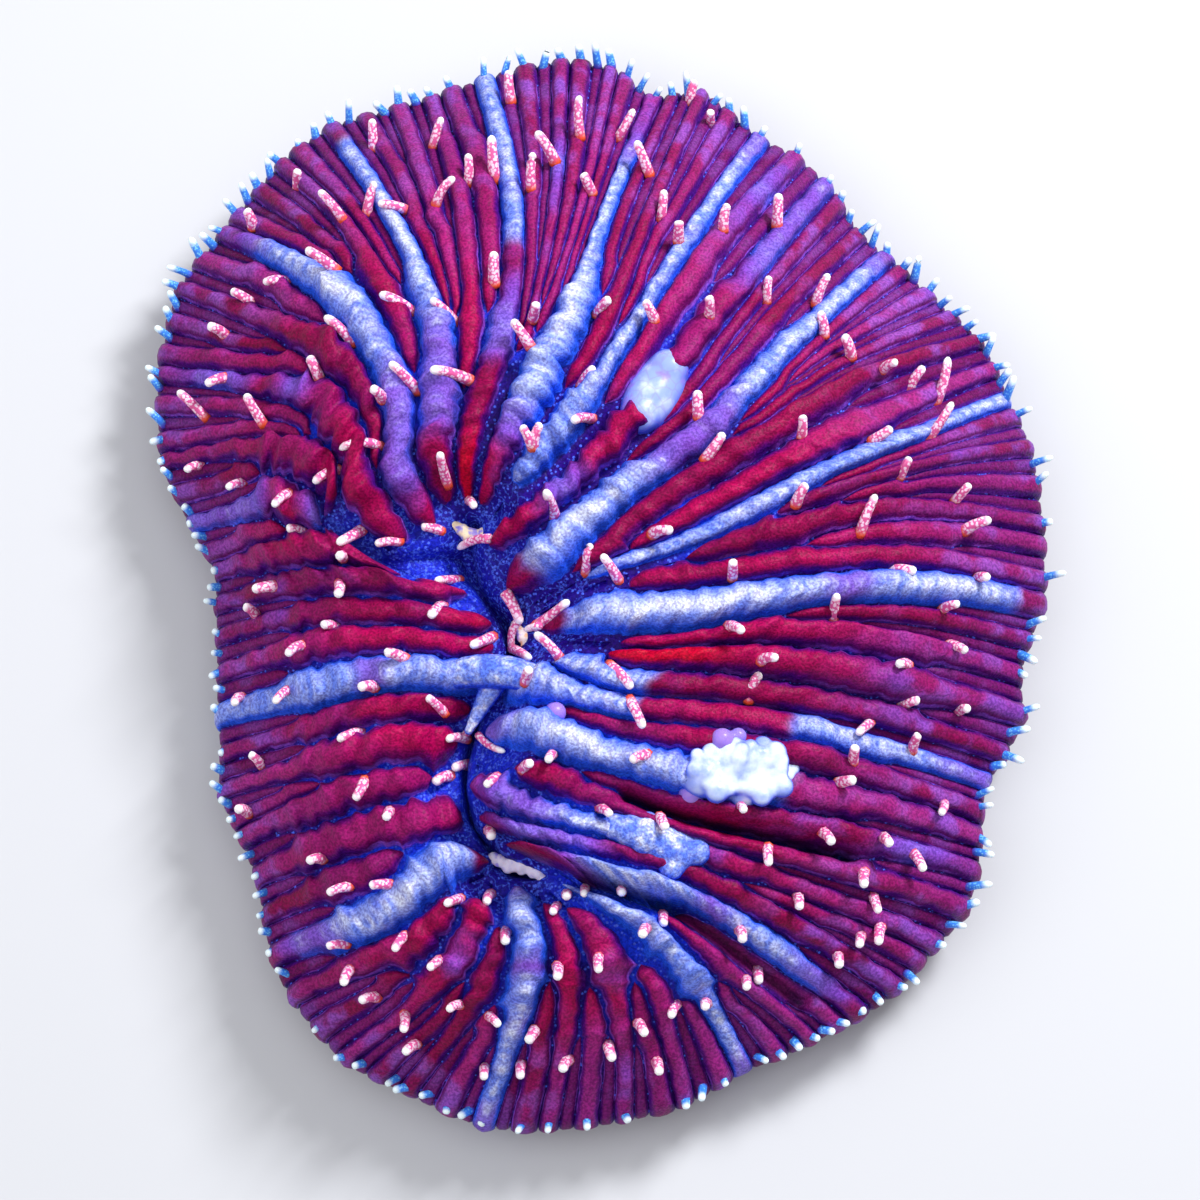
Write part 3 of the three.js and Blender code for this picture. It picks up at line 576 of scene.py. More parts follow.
def points_of(mesh):
    """Every point of a mesh, one row each."""
    places = np.zeros(len(mesh.vertices) * 3)
    mesh.vertices.foreach_get("co", places)
    return places.reshape(-1, 3)


def values_of(mesh, name):
    """A mesh's attribute, one value for each point."""
    values = np.zeros(len(mesh.vertices))
    mesh.attributes[name].data.foreach_get("value", values)
    return values


def selected_points(mesh):
    """Numbers of the points that are selected."""
    flags = np.zeros(len(mesh.vertices), bool)
    mesh.vertices.foreach_get("select", flags)
    return np.flatnonzero(flags)


def select_loop(at_margin):
    """Selects the open edges at the margin or at the furrow, and says how many."""
    mesh = flesh.data
    ends = np.zeros(len(mesh.edges) * 2, int)
    mesh.edges.foreach_get("vertices", ends)
    ends = ends.reshape(-1, 2)
    far = values_of(mesh, "margin") > 0.5
    chosen = [e for e in open_edges(mesh) if far[ends[e]].all() == at_margin]
    bpy.ops.object.mode_set(mode="EDIT")
    bpy.ops.mesh.select_mode(type="EDGE")
    bpy.ops.mesh.select_all(action="DESELECT")
    bpy.ops.object.mode_set(mode="OBJECT")
    for e in chosen:
        mesh.edges[e].select = True
    return len(chosen)


print("open edges at the furrow:", select_loop(False), "and at the margin:", select_loop(True))

# %% The furrow, drawn in to a slit
SPINE = np.array([(-11, 2.4), (-12, 0), (-11.5, -2), (-10, -4.6), (-7.8, -7.2), (-7.4, -8.6), (-8.4, -11),
                  (-8.7, -12.1), (-10.4, -14.5), (-11.2, -17), (-11.9, -20), (-11.6, -22.6),
                  (-10.9, -25), (-8.8, -27.6), (-7, -28.8), (-5, -29.4)])


def nearest_on_spine(places):
    """The nearest place on the furrow's spine, in plan millimetres."""
    best, nearest = np.full(len(places), 1e9), np.zeros((len(places), 2))
    for p, q in zip(SPINE[:-1], SPINE[1:]):
        along = np.clip(((places - p) @ (q - p)) / ((q - p) @ (q - p)), 0, 1)
        candidate = p + along[:, None] * (q - p)
        away = np.linalg.norm(places - candidate, axis=1)
        closer = away < best
        best[closer], nearest[closer] = away[closer], candidate[closer]
    return nearest


def in_plan(points):
    """Metres back to the plan's millimetres."""
    return (points[:, :2] - box_middle[:2]) / plan_scale + middle[:2]


# each step goes this share of the way that is left to the spine, and drops this many mm
FURROW_STEPS = [(0.25, 0.1), (0.3, 0.35), (0.35, 0.5), (0.45, 0.8), (0.6, 1.2)]
select_loop(False)
for pull, drop in FURROW_STEPS:
    bpy.ops.object.mode_set(mode="EDIT")
    bpy.ops.mesh.extrude_region_move()
    bpy.ops.object.mode_set(mode="OBJECT")
    places = points_of(flesh.data)
    picked = selected_points(flesh.data)
    plan = in_plan(places[picked])
    plan = plan + (nearest_on_spine(plan) - plan) * pull
    height = (places[picked, 2] - coral_low[2]) / MM - drop
    places[picked] = settled(np.column_stack([plan, height]))
    flesh.data.vertices.foreach_set("co", places.ravel())
bpy.ops.object.mode_set(mode="EDIT")
bpy.ops.mesh.edge_face_add()
bpy.ops.object.mode_set(mode="OBJECT")
print("furrow closed:", len(flesh.data.polygons), "faces")

# %% The lip, the underside and the flat base
# each step: the size in plan beside the ring before, a fall in mm (or for the underside the
# height in mm above the floor), and how much of the ring's unevenness it keeps
LIP_STEPS = [(1.004, 0.5, 0.9), (1.002, 0.6, 0.9), (0.994, 0.6, 0.9), (0.975, 0.5, 0.9)]
UNDER_STEPS = [(0.95, 2.0, 0.5), (0.9, 1.2, 0.4), (0.88, 0.5, 0.2), (0.97, 0.0, 0.0)]
select_loop(True)
bpy.ops.object.mode_set(mode="EDIT")
for share, drop, keep in LIP_STEPS + UNDER_STEPS:
    bpy.ops.mesh.extrude_region_move()
    bpy.ops.object.mode_set(mode="OBJECT")
    places = points_of(flesh.data)
    picked = selected_points(flesh.data)
    mean = places[picked, 2].mean()
    target = mean - drop * MM if (share, drop, keep) in LIP_STEPS else coral_low[2] + drop * MM
    places[picked, :2] = box_middle[:2] + (places[picked, :2] - box_middle[:2]) * share
    places[picked, 2] = target + (places[picked, 2] - mean) * keep
    flesh.data.vertices.foreach_set("co", places.ravel())
    bpy.ops.object.mode_set(mode="EDIT")
bpy.ops.object.mode_set(mode="OBJECT")
for name in carried:
    # the flat face has one look all over, that of a valley
    numbers = values_of(flesh.data, name)
    numbers[picked] = 1.0 if name == "across" else numbers[picked].mean()
    flesh.data.attributes[name].data.foreach_set("value", numbers)
bpy.ops.object.mode_set(mode="EDIT")
bpy.ops.mesh.edge_face_add()
bpy.ops.mesh.select_all(action="SELECT")
bpy.ops.mesh.normals_make_consistent(inside=False)
bpy.ops.object.mode_set(mode="OBJECT")
bpy.ops.object.shade_smooth()
flesh.data.update()
print("closed skin, open edges left:", len(open_edges(flesh.data)), "triangles:",
      sum(len(face.vertices) - 2 for face in flesh.data.polygons))

# %% [markdown]
# ## The flesh
# Living tissue over limestone: thin, wet and translucent, packed with coloured pigment
# grains. Valleys are deep blue or violet and speckled, side walls violet with a fine light
# edge, crests crimson and more violet towards the margin, with painted lavender highlights
# there. Some ribs are pale, white along the crest, partly their own white and partly a
# painted highlight, and blue beside it. The bottoms of the folds get painted shade. The strips
# carry how far across and along each point is, and the colours follow that. So little light
# passes through that it doesn't show at this size, so only the thin soft pieces below scatter
# light inside.

# %% What the tissue material reads
tissue, node = new_material("coral_tissue")
read = {name: node("Attribute", {"attribute_name": name}, "Fac") for name in carried}
where = node("TexCoord", None, "Object")
# pigment grains are about 0.2 mm, drawn a little coarse so they show; mottling is 4 to 14 mm
grain = node("TexNoise", None, "Fac", Vector=where, Scale=4200.0, Detail=2.0)
fine = node("TexNoise", None, "Fac", Vector=where, Scale=1000.0, Detail=3.0)
mottle = node("TexNoise", None, "Fac", Vector=where, Scale=260.0, Detail=4.0)
patches = node("TexNoise", None, "Fac", Vector=where, Scale=70.0, Detail=2.0)
speckle = node("TexVoronoi", None, "Distance", Vector=where, Scale=2300.0)


def varied(value, noise, amount):
    """A value with mottling added to it, up and down."""
    centred = node("Math", SUBTRACT, i0=noise, i1=0.5)
    return node("Math", ADD, i0=value, i1=node("Math", TIMES, i0=centred, i1=amount))


ragged = varied(read["across"], fine, 0.11)
print("attributes read:", len(read))

# %% Valleys: blue and violet with bright specks, and fine lines on the furrow's floor
valley_patches = node("MapRange", SMOOTH, Value=patches, From_Min=0.42, From_Max=0.58)
valley = node("Mix", COLOUR, 2, i0=valley_patches, i6=linear("2a0c78"), i7=linear("183ae0"))
near_rim = node("MapRange", SMOOTH, Value=read["margin"], From_Min=0.35, From_Max=0.9)
valley = node("Mix", COLOUR, 2, i0=near_rim, i6=valley, i7=linear("38106e"))
line_place = node("Math", {"operation": "ABSOLUTE"}, i0=varied(0.0, fine, 1.0), i1=0.0)
fine_lines = node("MapRange", SMOOTH, Value=line_place, From_Min=0.035, From_Max=0.005)
floor_patches = node("MapRange", SMOOTH, Value=patches, From_Min=0.4, From_Max=0.6)
furrow_floor = node("Mix", COLOUR, 2, i0=floor_patches, i6=linear("22118c"), i7=linear("1c2fd0"))
fine_lines = node("Math", TIMES, i0=fine_lines, i1=0.7)
furrow_floor = node("Mix", COLOUR, 2, i0=fine_lines, i6=furrow_floor, i7=linear("4a70f6"))
near_furrow = node("MapRange", SMOOTH, Value=read["along"], From_Min=9.0, From_Max=1.0)
valley = node("Mix", COLOUR, 2, i0=near_furrow, i6=valley, i7=furrow_floor)
specks = node("MapRange", SMOOTH, Value=speckle, From_Min=0.36, From_Max=0.2)
valley = node("Mix", COLOUR, 2, i0=specks, i6=valley, i7=linear("5270f4"))
print("tissue nodes so far:", len(tissue.node_tree.nodes))

# %% Crests: crimson inside, magenta and violet towards the margin
shade = varied(read["tone"], mottle, 1.6)
lightness = node("MapRange", SMOOTH, Value=shade, From_Min=0.0, From_Max=1.0)
crimson = node("Mix", COLOUR, 2, i0=lightness, i6=linear("860846"), i7=linear("ab0750"))
magenta = node("Mix", COLOUR, 2, i0=lightness, i6=linear("7e145e"), i7=linear("a02a82"))
shade_shift = node("Math", TIMES, i0=node("Math", SUBTRACT, i0=shade, i1=0.5), i1=0.35)
outward = node("Math", ADD, i0=read["margin"], i1=shade_shift)
outward = node("MapRange", SMOOTH, Value=outward, From_Min=0.55, From_Max=1.05)
crest_colour = node("Mix", COLOUR, 2, i0=outward, i6=crimson, i7=magenta)
crest_colour = node("Mix", COLOUR, 2, i0=read["red"], i6=crest_colour, i7=linear("c00430"))
# painted highlight: lavender patches painted on the crests towards the margin
painted_lavender_highlight = node("Math", TIMES, i0=node("MapRange", SMOOTH, Value=read["margin"], From_Min=0.62, From_Max=0.96),
             i1=node("MapRange", SMOOTH, Value=mottle, From_Min=0.46, From_Max=0.62))
painted_lavender_highlight = node("Math", TIMES, i0=painted_lavender_highlight, i1=0.72)
crest_colour = node("Mix", COLOUR, 2, i0=painted_lavender_highlight, i6=crest_colour, i7=linear("8f56c4"))
plum_patches = node("MapRange", SMOOTH, Value=patches, From_Min=0.46, From_Max=0.66)
plum_patches = node("Math", TIMES, i0=plum_patches, i1=0.45)
crest_colour = node("Mix", COLOUR, 2, i0=plum_patches, i6=crest_colour, i7=linear("84207a"))
lilac_mask = node("MapRange", SMOOTH, Value=varied(read["lilac"], mottle, 1.2), From_Min=0.2, From_Max=0.9)
crest_colour = node("Mix", COLOUR, 2, i0=lilac_mask, i6=crest_colour, i7=linear("7f45be"))
narrow_mask = node("Math", TIMES, i0=read["narrow"], i1=0.5)
crest_colour = node("Mix", COLOUR, 2, i0=narrow_mask, i6=crest_colour, i7=linear("560d58"))
print("tissue nodes so far:", len(tissue.node_tree.nodes))

# %% Red ribs: crest, violet side wall, a glowing edge, valley
wall_patches = node("MapRange", SMOOTH, Value=mottle, From_Min=0.38, From_Max=0.62)
wall = node("Mix", COLOUR, 2, i0=wall_patches, i6=linear("480e7c"), i7=linear("660c60"))
down_side = node("MapRange", SMOOTH, Value=ragged, From_Min=0.38, From_Max=0.8)
red_rib = node("Mix", COLOUR, 2, i0=down_side, i6=crest_colour, i7=wall)
glow = node("Math", TIMES, i0=node("MapRange", SMOOTH, Value=ragged, From_Min=0.74, From_Max=0.83),
            i1=node("MapRange", SMOOTH, Value=varied(0.5, mottle, 3.0), From_Min=0.25, From_Max=0.85))
glow = node("Math", TIMES, i0=glow, i1=0.85)
red_rib = node("Mix", COLOUR, 2, i0=glow, i6=red_rib, i7=linear("8d50d0"))
red_foot = node("MapRange", SMOOTH, Value=ragged, From_Min=0.84, From_Max=0.92)
red_rib = node("Mix", COLOUR, 2, i0=red_foot, i6=red_rib, i7=valley)
print("tissue nodes so far:", len(tissue.node_tree.nodes))

# %% Pale ribs: streaked white along the crest, partly a painted highlight, blue beside it
streak_place = node("CombineXYZ", X=node("Math", TIMES, i0=read["along"], i1=1.4),
                    Y=node("Math", TIMES, i0=read["across"], i1=1.2),
                    Z=node("Math", TIMES, i0=read["tone"], i1=40.0))
streak = node("TexNoise", None, "Fac", Vector=streak_place, Scale=1.0, Detail=2.0)
streak_step = node("MapRange", SMOOTH, Value=streak, From_Min=0.35, From_Max=0.65)
pale_body = node("Mix", COLOUR, 2, i0=streak_step, i6=linear("6884ee"), i7=linear("8fa4f4"))
pale_body = node("Mix", COLOUR, 2, i0=lilac_mask, i6=pale_body, i7=linear("7f68da"))
# white along the crest: partly the ribs' own white tissue, partly a painted highlight
white_and_highlight_amount = node("Math", ADD, i0=streak, i1=node("Math", TIMES, i0=read["white"], i1=0.5))
white_and_painted_highlight = node("Math", TIMES, i0=node("MapRange", SMOOTH, Value=ragged, From_Min=0.55, From_Max=0.05),
                  i1=node("MapRange", SMOOTH, Value=white_and_highlight_amount, From_Min=0.5, From_Max=1.1))
pale_body = node("Mix", COLOUR, 2, i0=white_and_painted_highlight, i6=pale_body, i7=linear("dfe6fb"))
blue_side = node("MapRange", SMOOTH, Value=ragged, From_Min=0.5, From_Max=0.8)
pale_rib = node("Mix", COLOUR, 2, i0=blue_side, i6=pale_body, i7=linear("2a60f4"))
pale_foot = node("MapRange", SMOOTH, Value=ragged, From_Min=0.86, From_Max=0.97)
pale_rib = node("Mix", COLOUR, 2, i0=pale_foot, i6=pale_rib, i7=valley)
print("tissue nodes so far:", len(tissue.node_tree.nodes))

# %% All ribs together, painted shade in the folds, and the grains
pale_mask = node("MapRange", SMOOTH, Value=varied(read["pale"], mottle, 0.7), From_Min=0.3, From_Max=0.7)
skin_colour = node("Mix", COLOUR, 2, i0=pale_mask, i6=red_rib, i7=pale_rib)
# painted shade: the bottoms of the two folds are darkened towards near black
painted_fold_shade = node("MapRange", SMOOTH, Value=read["fold"], From_Min=0.5, From_Max=1.0)
painted_fold_shade = node("Math", TIMES, i0=painted_fold_shade, i1=0.7)
skin_colour = node("Mix", COLOUR, 2, i0=painted_fold_shade, i6=skin_colour, i7=linear("0c0426"))
grain_step = node("MapRange", SMOOTH, Value=grain, From_Min=0.36, From_Max=0.64)
stipple = node("Mix", COLOUR, 2, i0=grain_step, i6=linear("c4bccc"), i7=linear("ffffff"))
skin_colour = node("Mix", COLOUR_TIMES, 2, i0=1.0, i6=skin_colour, i7=stipple)

# creases cross the pale ribs every 1.2 mm or so; grains raise the surface by 0.1 mm
crease_turn = node("Math", ADD, i0=node("Math", TIMES, i0=read["along"], i1=5.2),
                   i1=node("Math", TIMES, i0=mottle, i1=16.0))
crease = node("Math", TIMES, i0=node("Math", {"operation": "SINE"}, i0=crease_turn, i1=0.0),
              i1=node("Math", TIMES, i0=pale_mask, i1=0.22))
relief = node("Math", ADD, i0=node("Math", TIMES, i0=grain, i1=0.7), i1=node("Math", ADD, i0=fine, i1=crease))
bump = node("Bump", Strength=0.55, Distance=0.00022, Height=relief)
surface = node("BsdfPrincipled", Base_Color=skin_colour, Roughness=0.42, IOR=1.38,
               Specular_IOR_Level=0.12, Normal=bump)
node("OutputMaterial", Surface=surface)
flesh.data.materials.clear()
flesh.data.materials.append(tissue)
print("tissue nodes:", len(tissue.node_tree.nodes))


def on_the_coral(piece):
    """Says that a piece rides with the coral and stands for its CAD solid."""
    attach(piece, "root")
    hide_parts("coral")


on_the_coral(flesh)

# %% [markdown]
# ## A soft finger, modelled once
# Every tentacle is a finger of thin skin filled with water: a little thicker at its foot,
# round at its tip, and bent. A cone would look hard, so a short cylinder is extruded up
# ring by ring, each ring drawn in, and copies are bent along their own curves.

# %% The finger
FINGER_SIDES = 8
FINGER_RINGS = [(0.2, 0.93), (0.22, 0.93), (0.22, 0.95), (0.16, 0.96), (0.09, 0.78), (0.05, 0.5)]
FIRST_RING = 0.06


def select_top(mesh):
    """Selects the highest face of a mesh that is being edited."""
    bpy.ops.mesh.select_mode(type="FACE")
    bpy.ops.mesh.select_all(action="DESELECT")
    bpy.ops.object.mode_set(mode="OBJECT")
    max(mesh.polygons, key=lambda face: face.center.z).select = True
    bpy.ops.object.mode_set(mode="EDIT")


bpy.ops.object.select_all(action="DESELECT")
bpy.ops.mesh.primitive_cylinder_add(vertices=FINGER_SIDES, radius=1, depth=FIRST_RING,
                                    location=(0, 0, FIRST_RING / 2), end_fill_type="NGON")
finger = bpy.context.object
finger.name = "finger"
bpy.ops.object.transform_apply(location=True, rotation=True, scale=True)
bpy.ops.object.mode_set(mode="EDIT")
select_top(finger.data)
for rise, draw_in in FINGER_RINGS:
    bpy.ops.mesh.extrude_region_move(TRANSFORM_OT_translate={"value": (0, 0, rise)})
    bpy.ops.transform.resize(value=(draw_in, draw_in, 1), center_override=(0, 0, 0))
bpy.ops.object.mode_set(mode="OBJECT")
bpy.ops.object.shade_smooth()
finger_points = points_of(finger.data)
finger_points[:, 2] /= finger_points[:, 2].max()
print("finger:", len(finger.data.polygons), "faces")


# %% Bending copies of it
def bent_finger(name, foot, elbow, tip, radius, first_reach=0.0):
    """A copy of the finger that goes from its foot to its tip past an elbow, in metres."""
    piece = finger.copy()
    piece.data = finger.data.copy()
    piece.name = name
    bpy.context.collection.objects.link(piece)
    foot, elbow, tip = (np.array(p, float) for p in (foot, elbow, tip))
    t = finger_points[:, 2:3]
    line = (1 - t) ** 2 * foot + 2 * t * (1 - t) * elbow + t ** 2 * tip
    tangent = 2 * (1 - t) * (elbow - foot) + 2 * t * (tip - elbow)
    tangent /= np.linalg.norm(tangent, axis=1)[:, None]
    side = np.cross(tangent, (0.3, 1.0, 0.1))
    side /= np.linalg.norm(side, axis=1)[:, None]
    other = np.cross(tangent, side)
    places = line + (side * finger_points[:, :1] + other * finger_points[:, 1:2]) * radius
    piece.data.vertices.foreach_set("co", places.ravel())
    piece.data.attributes.new("reach", "FLOAT", "POINT").data.foreach_set(
        "value", first_reach + (1 - first_reach) * finger_points[:, 2])
    return piece


def joined(pieces, name, material):
    """Several pieces made one, with a material and its place on the coral."""
    bpy.ops.object.select_all(action="DESELECT")
    for piece in pieces:
        piece.select_set(True)
    bpy.context.view_layer.objects.active = pieces[0]
    if len(pieces) > 1:
        bpy.ops.object.join()
    piece = bpy.context.object
    piece.name = name
    bpy.ops.object.mode_set(mode="EDIT")
    bpy.ops.mesh.select_all(action="SELECT")
    bpy.ops.mesh.normals_make_consistent(inside=False)
    bpy.ops.object.mode_set(mode="OBJECT")
    piece.data.materials.clear()
    piece.data.materials.append(material)
    on_the_coral(piece)
    return piece


def skin_height(x, y):
    """Height of the flesh, in millimetres, at a place in the plan."""
    start = Vector(settled([(x, y, 60)])[0])
    hit, place, _, _ = flesh.ray_cast(start, (0, 0, -1))
    return (place.z - coral_low[2]) / MM if hit else MARGIN_HEIGHT


# %% [markdown]
# ## Tentacles on the ribs
# The tentacles of this family stand alone on the ribs, each a few millimetres long. Their
# skin is nearly clear, with a white tip, crimson dots and an orange glow at the foot. They
# are listed below, foot and tip in plan. Those to the north lie over more.

# %% Where they stand
TENTACLES = [
    (-8.3, 45.4, -8.5, 48.4), (-21.2, 40.4, -21.3, 43.4), (-15.6, 40.2, -14.7, 43),
    (-1.7, 40.2, -1.8, 44.2), (1.6, 41, 3.2, 43.8), (-4, 37.2, -5.8, 40),
    (-9.6, 35.4, -9.9, 39.6), (-12.1, 35.2, -12.1, 38), (-6.2, 34, -6, 37.4),
    (-0.6, 34, -1.5, 35.8), (4.7, 36.4, 3.4, 39.6), (-15, 32.5, -13.2, 35),
    (-21.4, 32.2, -20.6, 35.2), (-17.6, 32.4, -20.2, 32.8), (5.6, 31.2, 5.9, 34),
    (7.2, 28.6, 7.2, 30.4), (-9.4, 23.6, -9.4, 26.6), (-16.6, 21.2, -19.6, 22.6),
    (-12.8, 20, -15, 21.6), (-6, 20, -5.6, 21.4), (-0.2, 20.6, 1, 21.9),
    (5, 19.8, 4, 21.6), (9.8, 20.4, 9.7, 22.2), (11.3, 29.8, 11.7, 32.2),
    (-22, 18.2, -24.5, 20.6), (-6, 16.8, -7.7, 19.2), (-23.4, 31.4, -25.6, 34),
    (-23.6, 25.4, -26.4, 27.2), (-28.4, 25.9, -30.6, 25.6), (-31.7, 24.4, -33.8, 25.5),
    (-34.4, 21.6, -35.8, 22.2), (-28.3, 36.8, -28.1, 38.4), (-32.3, 32.8, -32.9, 34.4),
    (-36, 14, -38.6, 16.5), (-34.2, 17.3, -35.8, 16.4), (-30.2, 11.8, -31.8, 14.6),
    (-25, 15, -25.9, 17), (-16, 13.2, -18.5, 15.5), (-11.2, 14.2, -14.8, 14.5),
    (-19.1, 12.2, -20, 13), (-19.2, 8.4, -22.8, 8), (-13.4, 5.2, -14, 7.4),
    (-23, 6.6, -25.2, 5.2), (-36.4, 9.9, -37.8, 9.2), (-32.2, 7.3, -33.6, 6.6),
    (-27.6, 4.8, -28.8, 3.4), (-26.2, 1.6, -27.8, 2), (-21, 1.6, -23, -0.2),
    (-17.6, 0.4, -19.8, 0), (-14, 1.6, -15.8, 1.9), (-11.6, 4.4, -11, 3.6),
    (-5.8, 7.4, -6.8, 9.4), (-5.8, 7.4, -5.1, 9.6), (-3.8, 1.6, -4.7, 3.6),
    (-1.8, 14, -0.4, 15.4), (-0.6, 11, -2.4, 10), (8.8, 10.5, 8.7, 12.9),
    (9.2, 6.6, 10.9, 9), (17.9, 9, 17.9, 11), (15.2, 23.2, 15.4, 25.6),
    (19.7, 23.4, 20.9, 26.2), (20.4, 20, 19.9, 22.2), (22.8, 18, 22, 20),
    (25.6, 16.9, 26.8, 17.4), (28.2, 15.9, 29.6, 18), (30.7, 14.8, 31.8, 19.2),
    (29.6, 10.6, 31.8, 14), (24.2, 9.3, 26, 10.5), (26.8, 6.4, 27.7, 8.2),
    (17.2, 2.7, 18.2, 4.6), (23, 0.6, 24.4, 4.2), (32, 5.2, 33.4, 6.8),
    (32.8, 2.4, 35.2, 3.4), (4.6, 0, 6.4, 0.2), (1.8, -4, 0.2, -1.8),
    (-1.2, -3.2, -0.7, -0.8), (11.6, -3.9, 11.6, -2.4), (25.8, -2, 28, -2.3),
    (20.6, -7, 20.8, -5), (34, -1.8, 34.8, -1.8), (30.6, -5, 32, -4.6),
    (11.2, -8.4, 12.4, -9), (31.2, -7.6, 32.8, -8.4), (27.4, -10.4, 26.2, -10.4),
    (14, -11.4, 15.4, -11.2), (13, -14.6, 14, -12.2), (26.8, -13.6, 28.4, -13.1),
    (32.2, -13.5, 33, -13.2), (24, -15.4, 22.6, -16.6), (27.8, -17.6, 28.3, -16),
    (22.2, -19.4, 22.3, -17.9), (0.8, -11.6, 2.8, -13.8), (2.6, -14.8, 3.8, -17.4),
    (-6.4, -13.4, -6, -12.2), (-5.8, -7.2, -2.7, -5.2), (-3.4, -11, -5.6, -8.8),
    (-9.4, -8, -11.2, -9.4), (-9.4, -10, -11, -11.8), (-12.4, -2.4, -14.4, -3.2),
    (-13.8, -5.4, -14.8, -7), (-22.6, -1.4, -22.8, -1.4), (-29, -2.7, -31, -3.1),
    (-31, -4.6, -32, -3.8), (-22.9, -3.6, -22.9, -4.9), (-23.2, -7.2, -24.4, -7),
    (-26.2, -8.8, -27.4, -9.8), (-16.8, -10.9, -18.6, -10.4), (-32.2, -12, -32.6, -12.7),
    (-27.6, -12.4, -28.6, -13.6), (-19.6, -13.1, -20.8, -13.2), (-13.4, -15.4, -15, -14.1),
    (-11.6, -17, -13.2, -17.4), (-11.6, -18.8, -12.8, -19.4), (-13, -20.3, -14.4, -21),
    (-30.2, -18.4, -31.2, -17.2), (-20.8, -16.6, -22.8, -17.6), (-20.4, -21.2, -21.2, -23),
    (-31.4, -22.4, -32.2, -22), (-18.2, -24, -18.4, -24.6), (-9.6, -25.4, -9.3, -26),
    (-24.2, -27.4, -25.4, -27.6), (-21.6, -30.1, -23.6, -30.8), (-18, -30.3, -19.8, -30.4),
    (-12, -31.4, -13.2, -31.9), (-9.4, -30.8, -9.7, -31.6), (-22, -34.8, -23.8, -35),
    (-16.8, -34.6, -17.6, -35.8), (-13.8, -36.8, -14.6, -37.4), (-21.8, -37, -22.2, -38.2),
    (-19.4, -39.3, -20.8, -39.5), (-17, -40.8, -17, -42.2), (-16, -43.2, -17, -43.8),
    (-12, -40.3, -13, -40.6), (-8, -34.2, -8, -35.2), (-9.6, -41.2, -8.6, -41.9),
    (-3.6, -37.4, -3.6, -38.3), (-10, -45.2, -10, -46), (-6.8, -45, -6.8, -46),
    (-5.6, -42.4, -6.2, -43.2), (-2.6, -44.6, -3.2, -45.4), (-3.6, -32.1, -4, -32.6),
    (-2.8, -31.1, -2.8, -31.2), (-1.2, -30.4, -1.3, -31), (2, -30.9, 2, -31),
    (0, -36.8, 0, -38), (5.5, -32.8, 5.5, -33.6), (4, -34.4, 3.6, -34.9),
    (6.8, -40, 6.2, -41), (3.4, -41.8, 4, -42.6), (0.8, -43.4, 1.2, -44.6),
    (5, -44.8, 5.2, -45.6), (9.4, -40, 9.2, -40.2), (12.2, -34, 12.3, -34.8),
    (13.9, -36.8, 13.9, -37.7), (12.8, -38, 12.7, -38.6), (14.6, -27.2, 14.6, -28.8),
    (17.3, -30.8, 17.3, -31.9), (19.4, -25.6, 20.1, -26.6), (25, -25.6, 25.4, -26.2),
    (27.8, -26.6, 28.5, -28.1), (23.2, -28.8, 23, -30), (24.2, -30.4, 24.5, -31.8),
    (24.9, -32.9, 24.5, -34.4), (23.1, -33.8, 22.7, -34.6), (21, -35.6, 20.9, -36.4),
    (12, -23.7, 12.4, -24.2), (5.2, -24.9, 5.7, -25.9), (0, -24.2, 1, -24.8),
    (4.2, -19.8, 2.7, -20.4), (-4, -19.6, -4.4, -20.2), (-6.6, -21, -5.8, -20.4),
    (-8.8, -21.4, -9.8, -22.2), (30.8, -21.8, 30.2, -22.7), (20.8, -21.3, 22.2, -21),
    (10.6, 43.6, 10.5, 44.8), (8.6, 46.2, 9.1, 48.4), (16.4, 31.6, 16.5, 34.6),
]
SHORTEST, LEAN_SHIFT, CLEAR_OF_SKIN = 2.0, 0.25, 0.6
print("tentacles:", len(TENTACLES))

# %% Setting them on the skin
fingers = []
for number, (x, y, tip_x, tip_y) in enumerate(TENTACLES):
    lean = math.hypot(tip_x - x, tip_y - y)
    length = max(SHORTEST + 0.5 * rng.random(), lean * 1.06)
    stand = math.sqrt(max(length ** 2 - lean ** 2, 0.3))
    z = skin_height(x, y)
    foot = (x, y, z - 0.35)
    tip_y -= LEAN_SHIFT * stand
    tip = (tip_x, tip_y, max(z + stand, skin_height(tip_x, tip_y) + CLEAR_OF_SKIN))
    bend = rng.uniform(-0.12, 0.12) * length
    x, y = (x + tip_x) / 2 + bend, (y + tip_y + LEAN_SHIFT * stand) / 2 - bend * 0.5
    elbow = (x, y, max(z + stand * 0.5 + 0.22 * length, skin_height(x, y) + CLEAR_OF_SKIN))
    places = settled([foot, elbow, tip])
    fingers.append(bent_finger(f"tentacle_{number:03d}", *places, radius=rng.uniform(0.46, 0.56) * MM))
print("fingers placed:", len(fingers))

# %% [markdown]
# The skin of a tentacle is clear ectoderm over pale tissue. Its pigment sits in worm-like
# crimson dots, the foot glows orange and the tip is white, which "reach" tells apart.

# %% Tentacle skin
def mark(piece, name, value):
    """Gives every point of a piece the same value, for its material to read."""
    values = np.full(len(piece.data.vertices), value)
    piece.data.attributes.new(name, "FLOAT", "POINT").data.foreach_set("value", values)


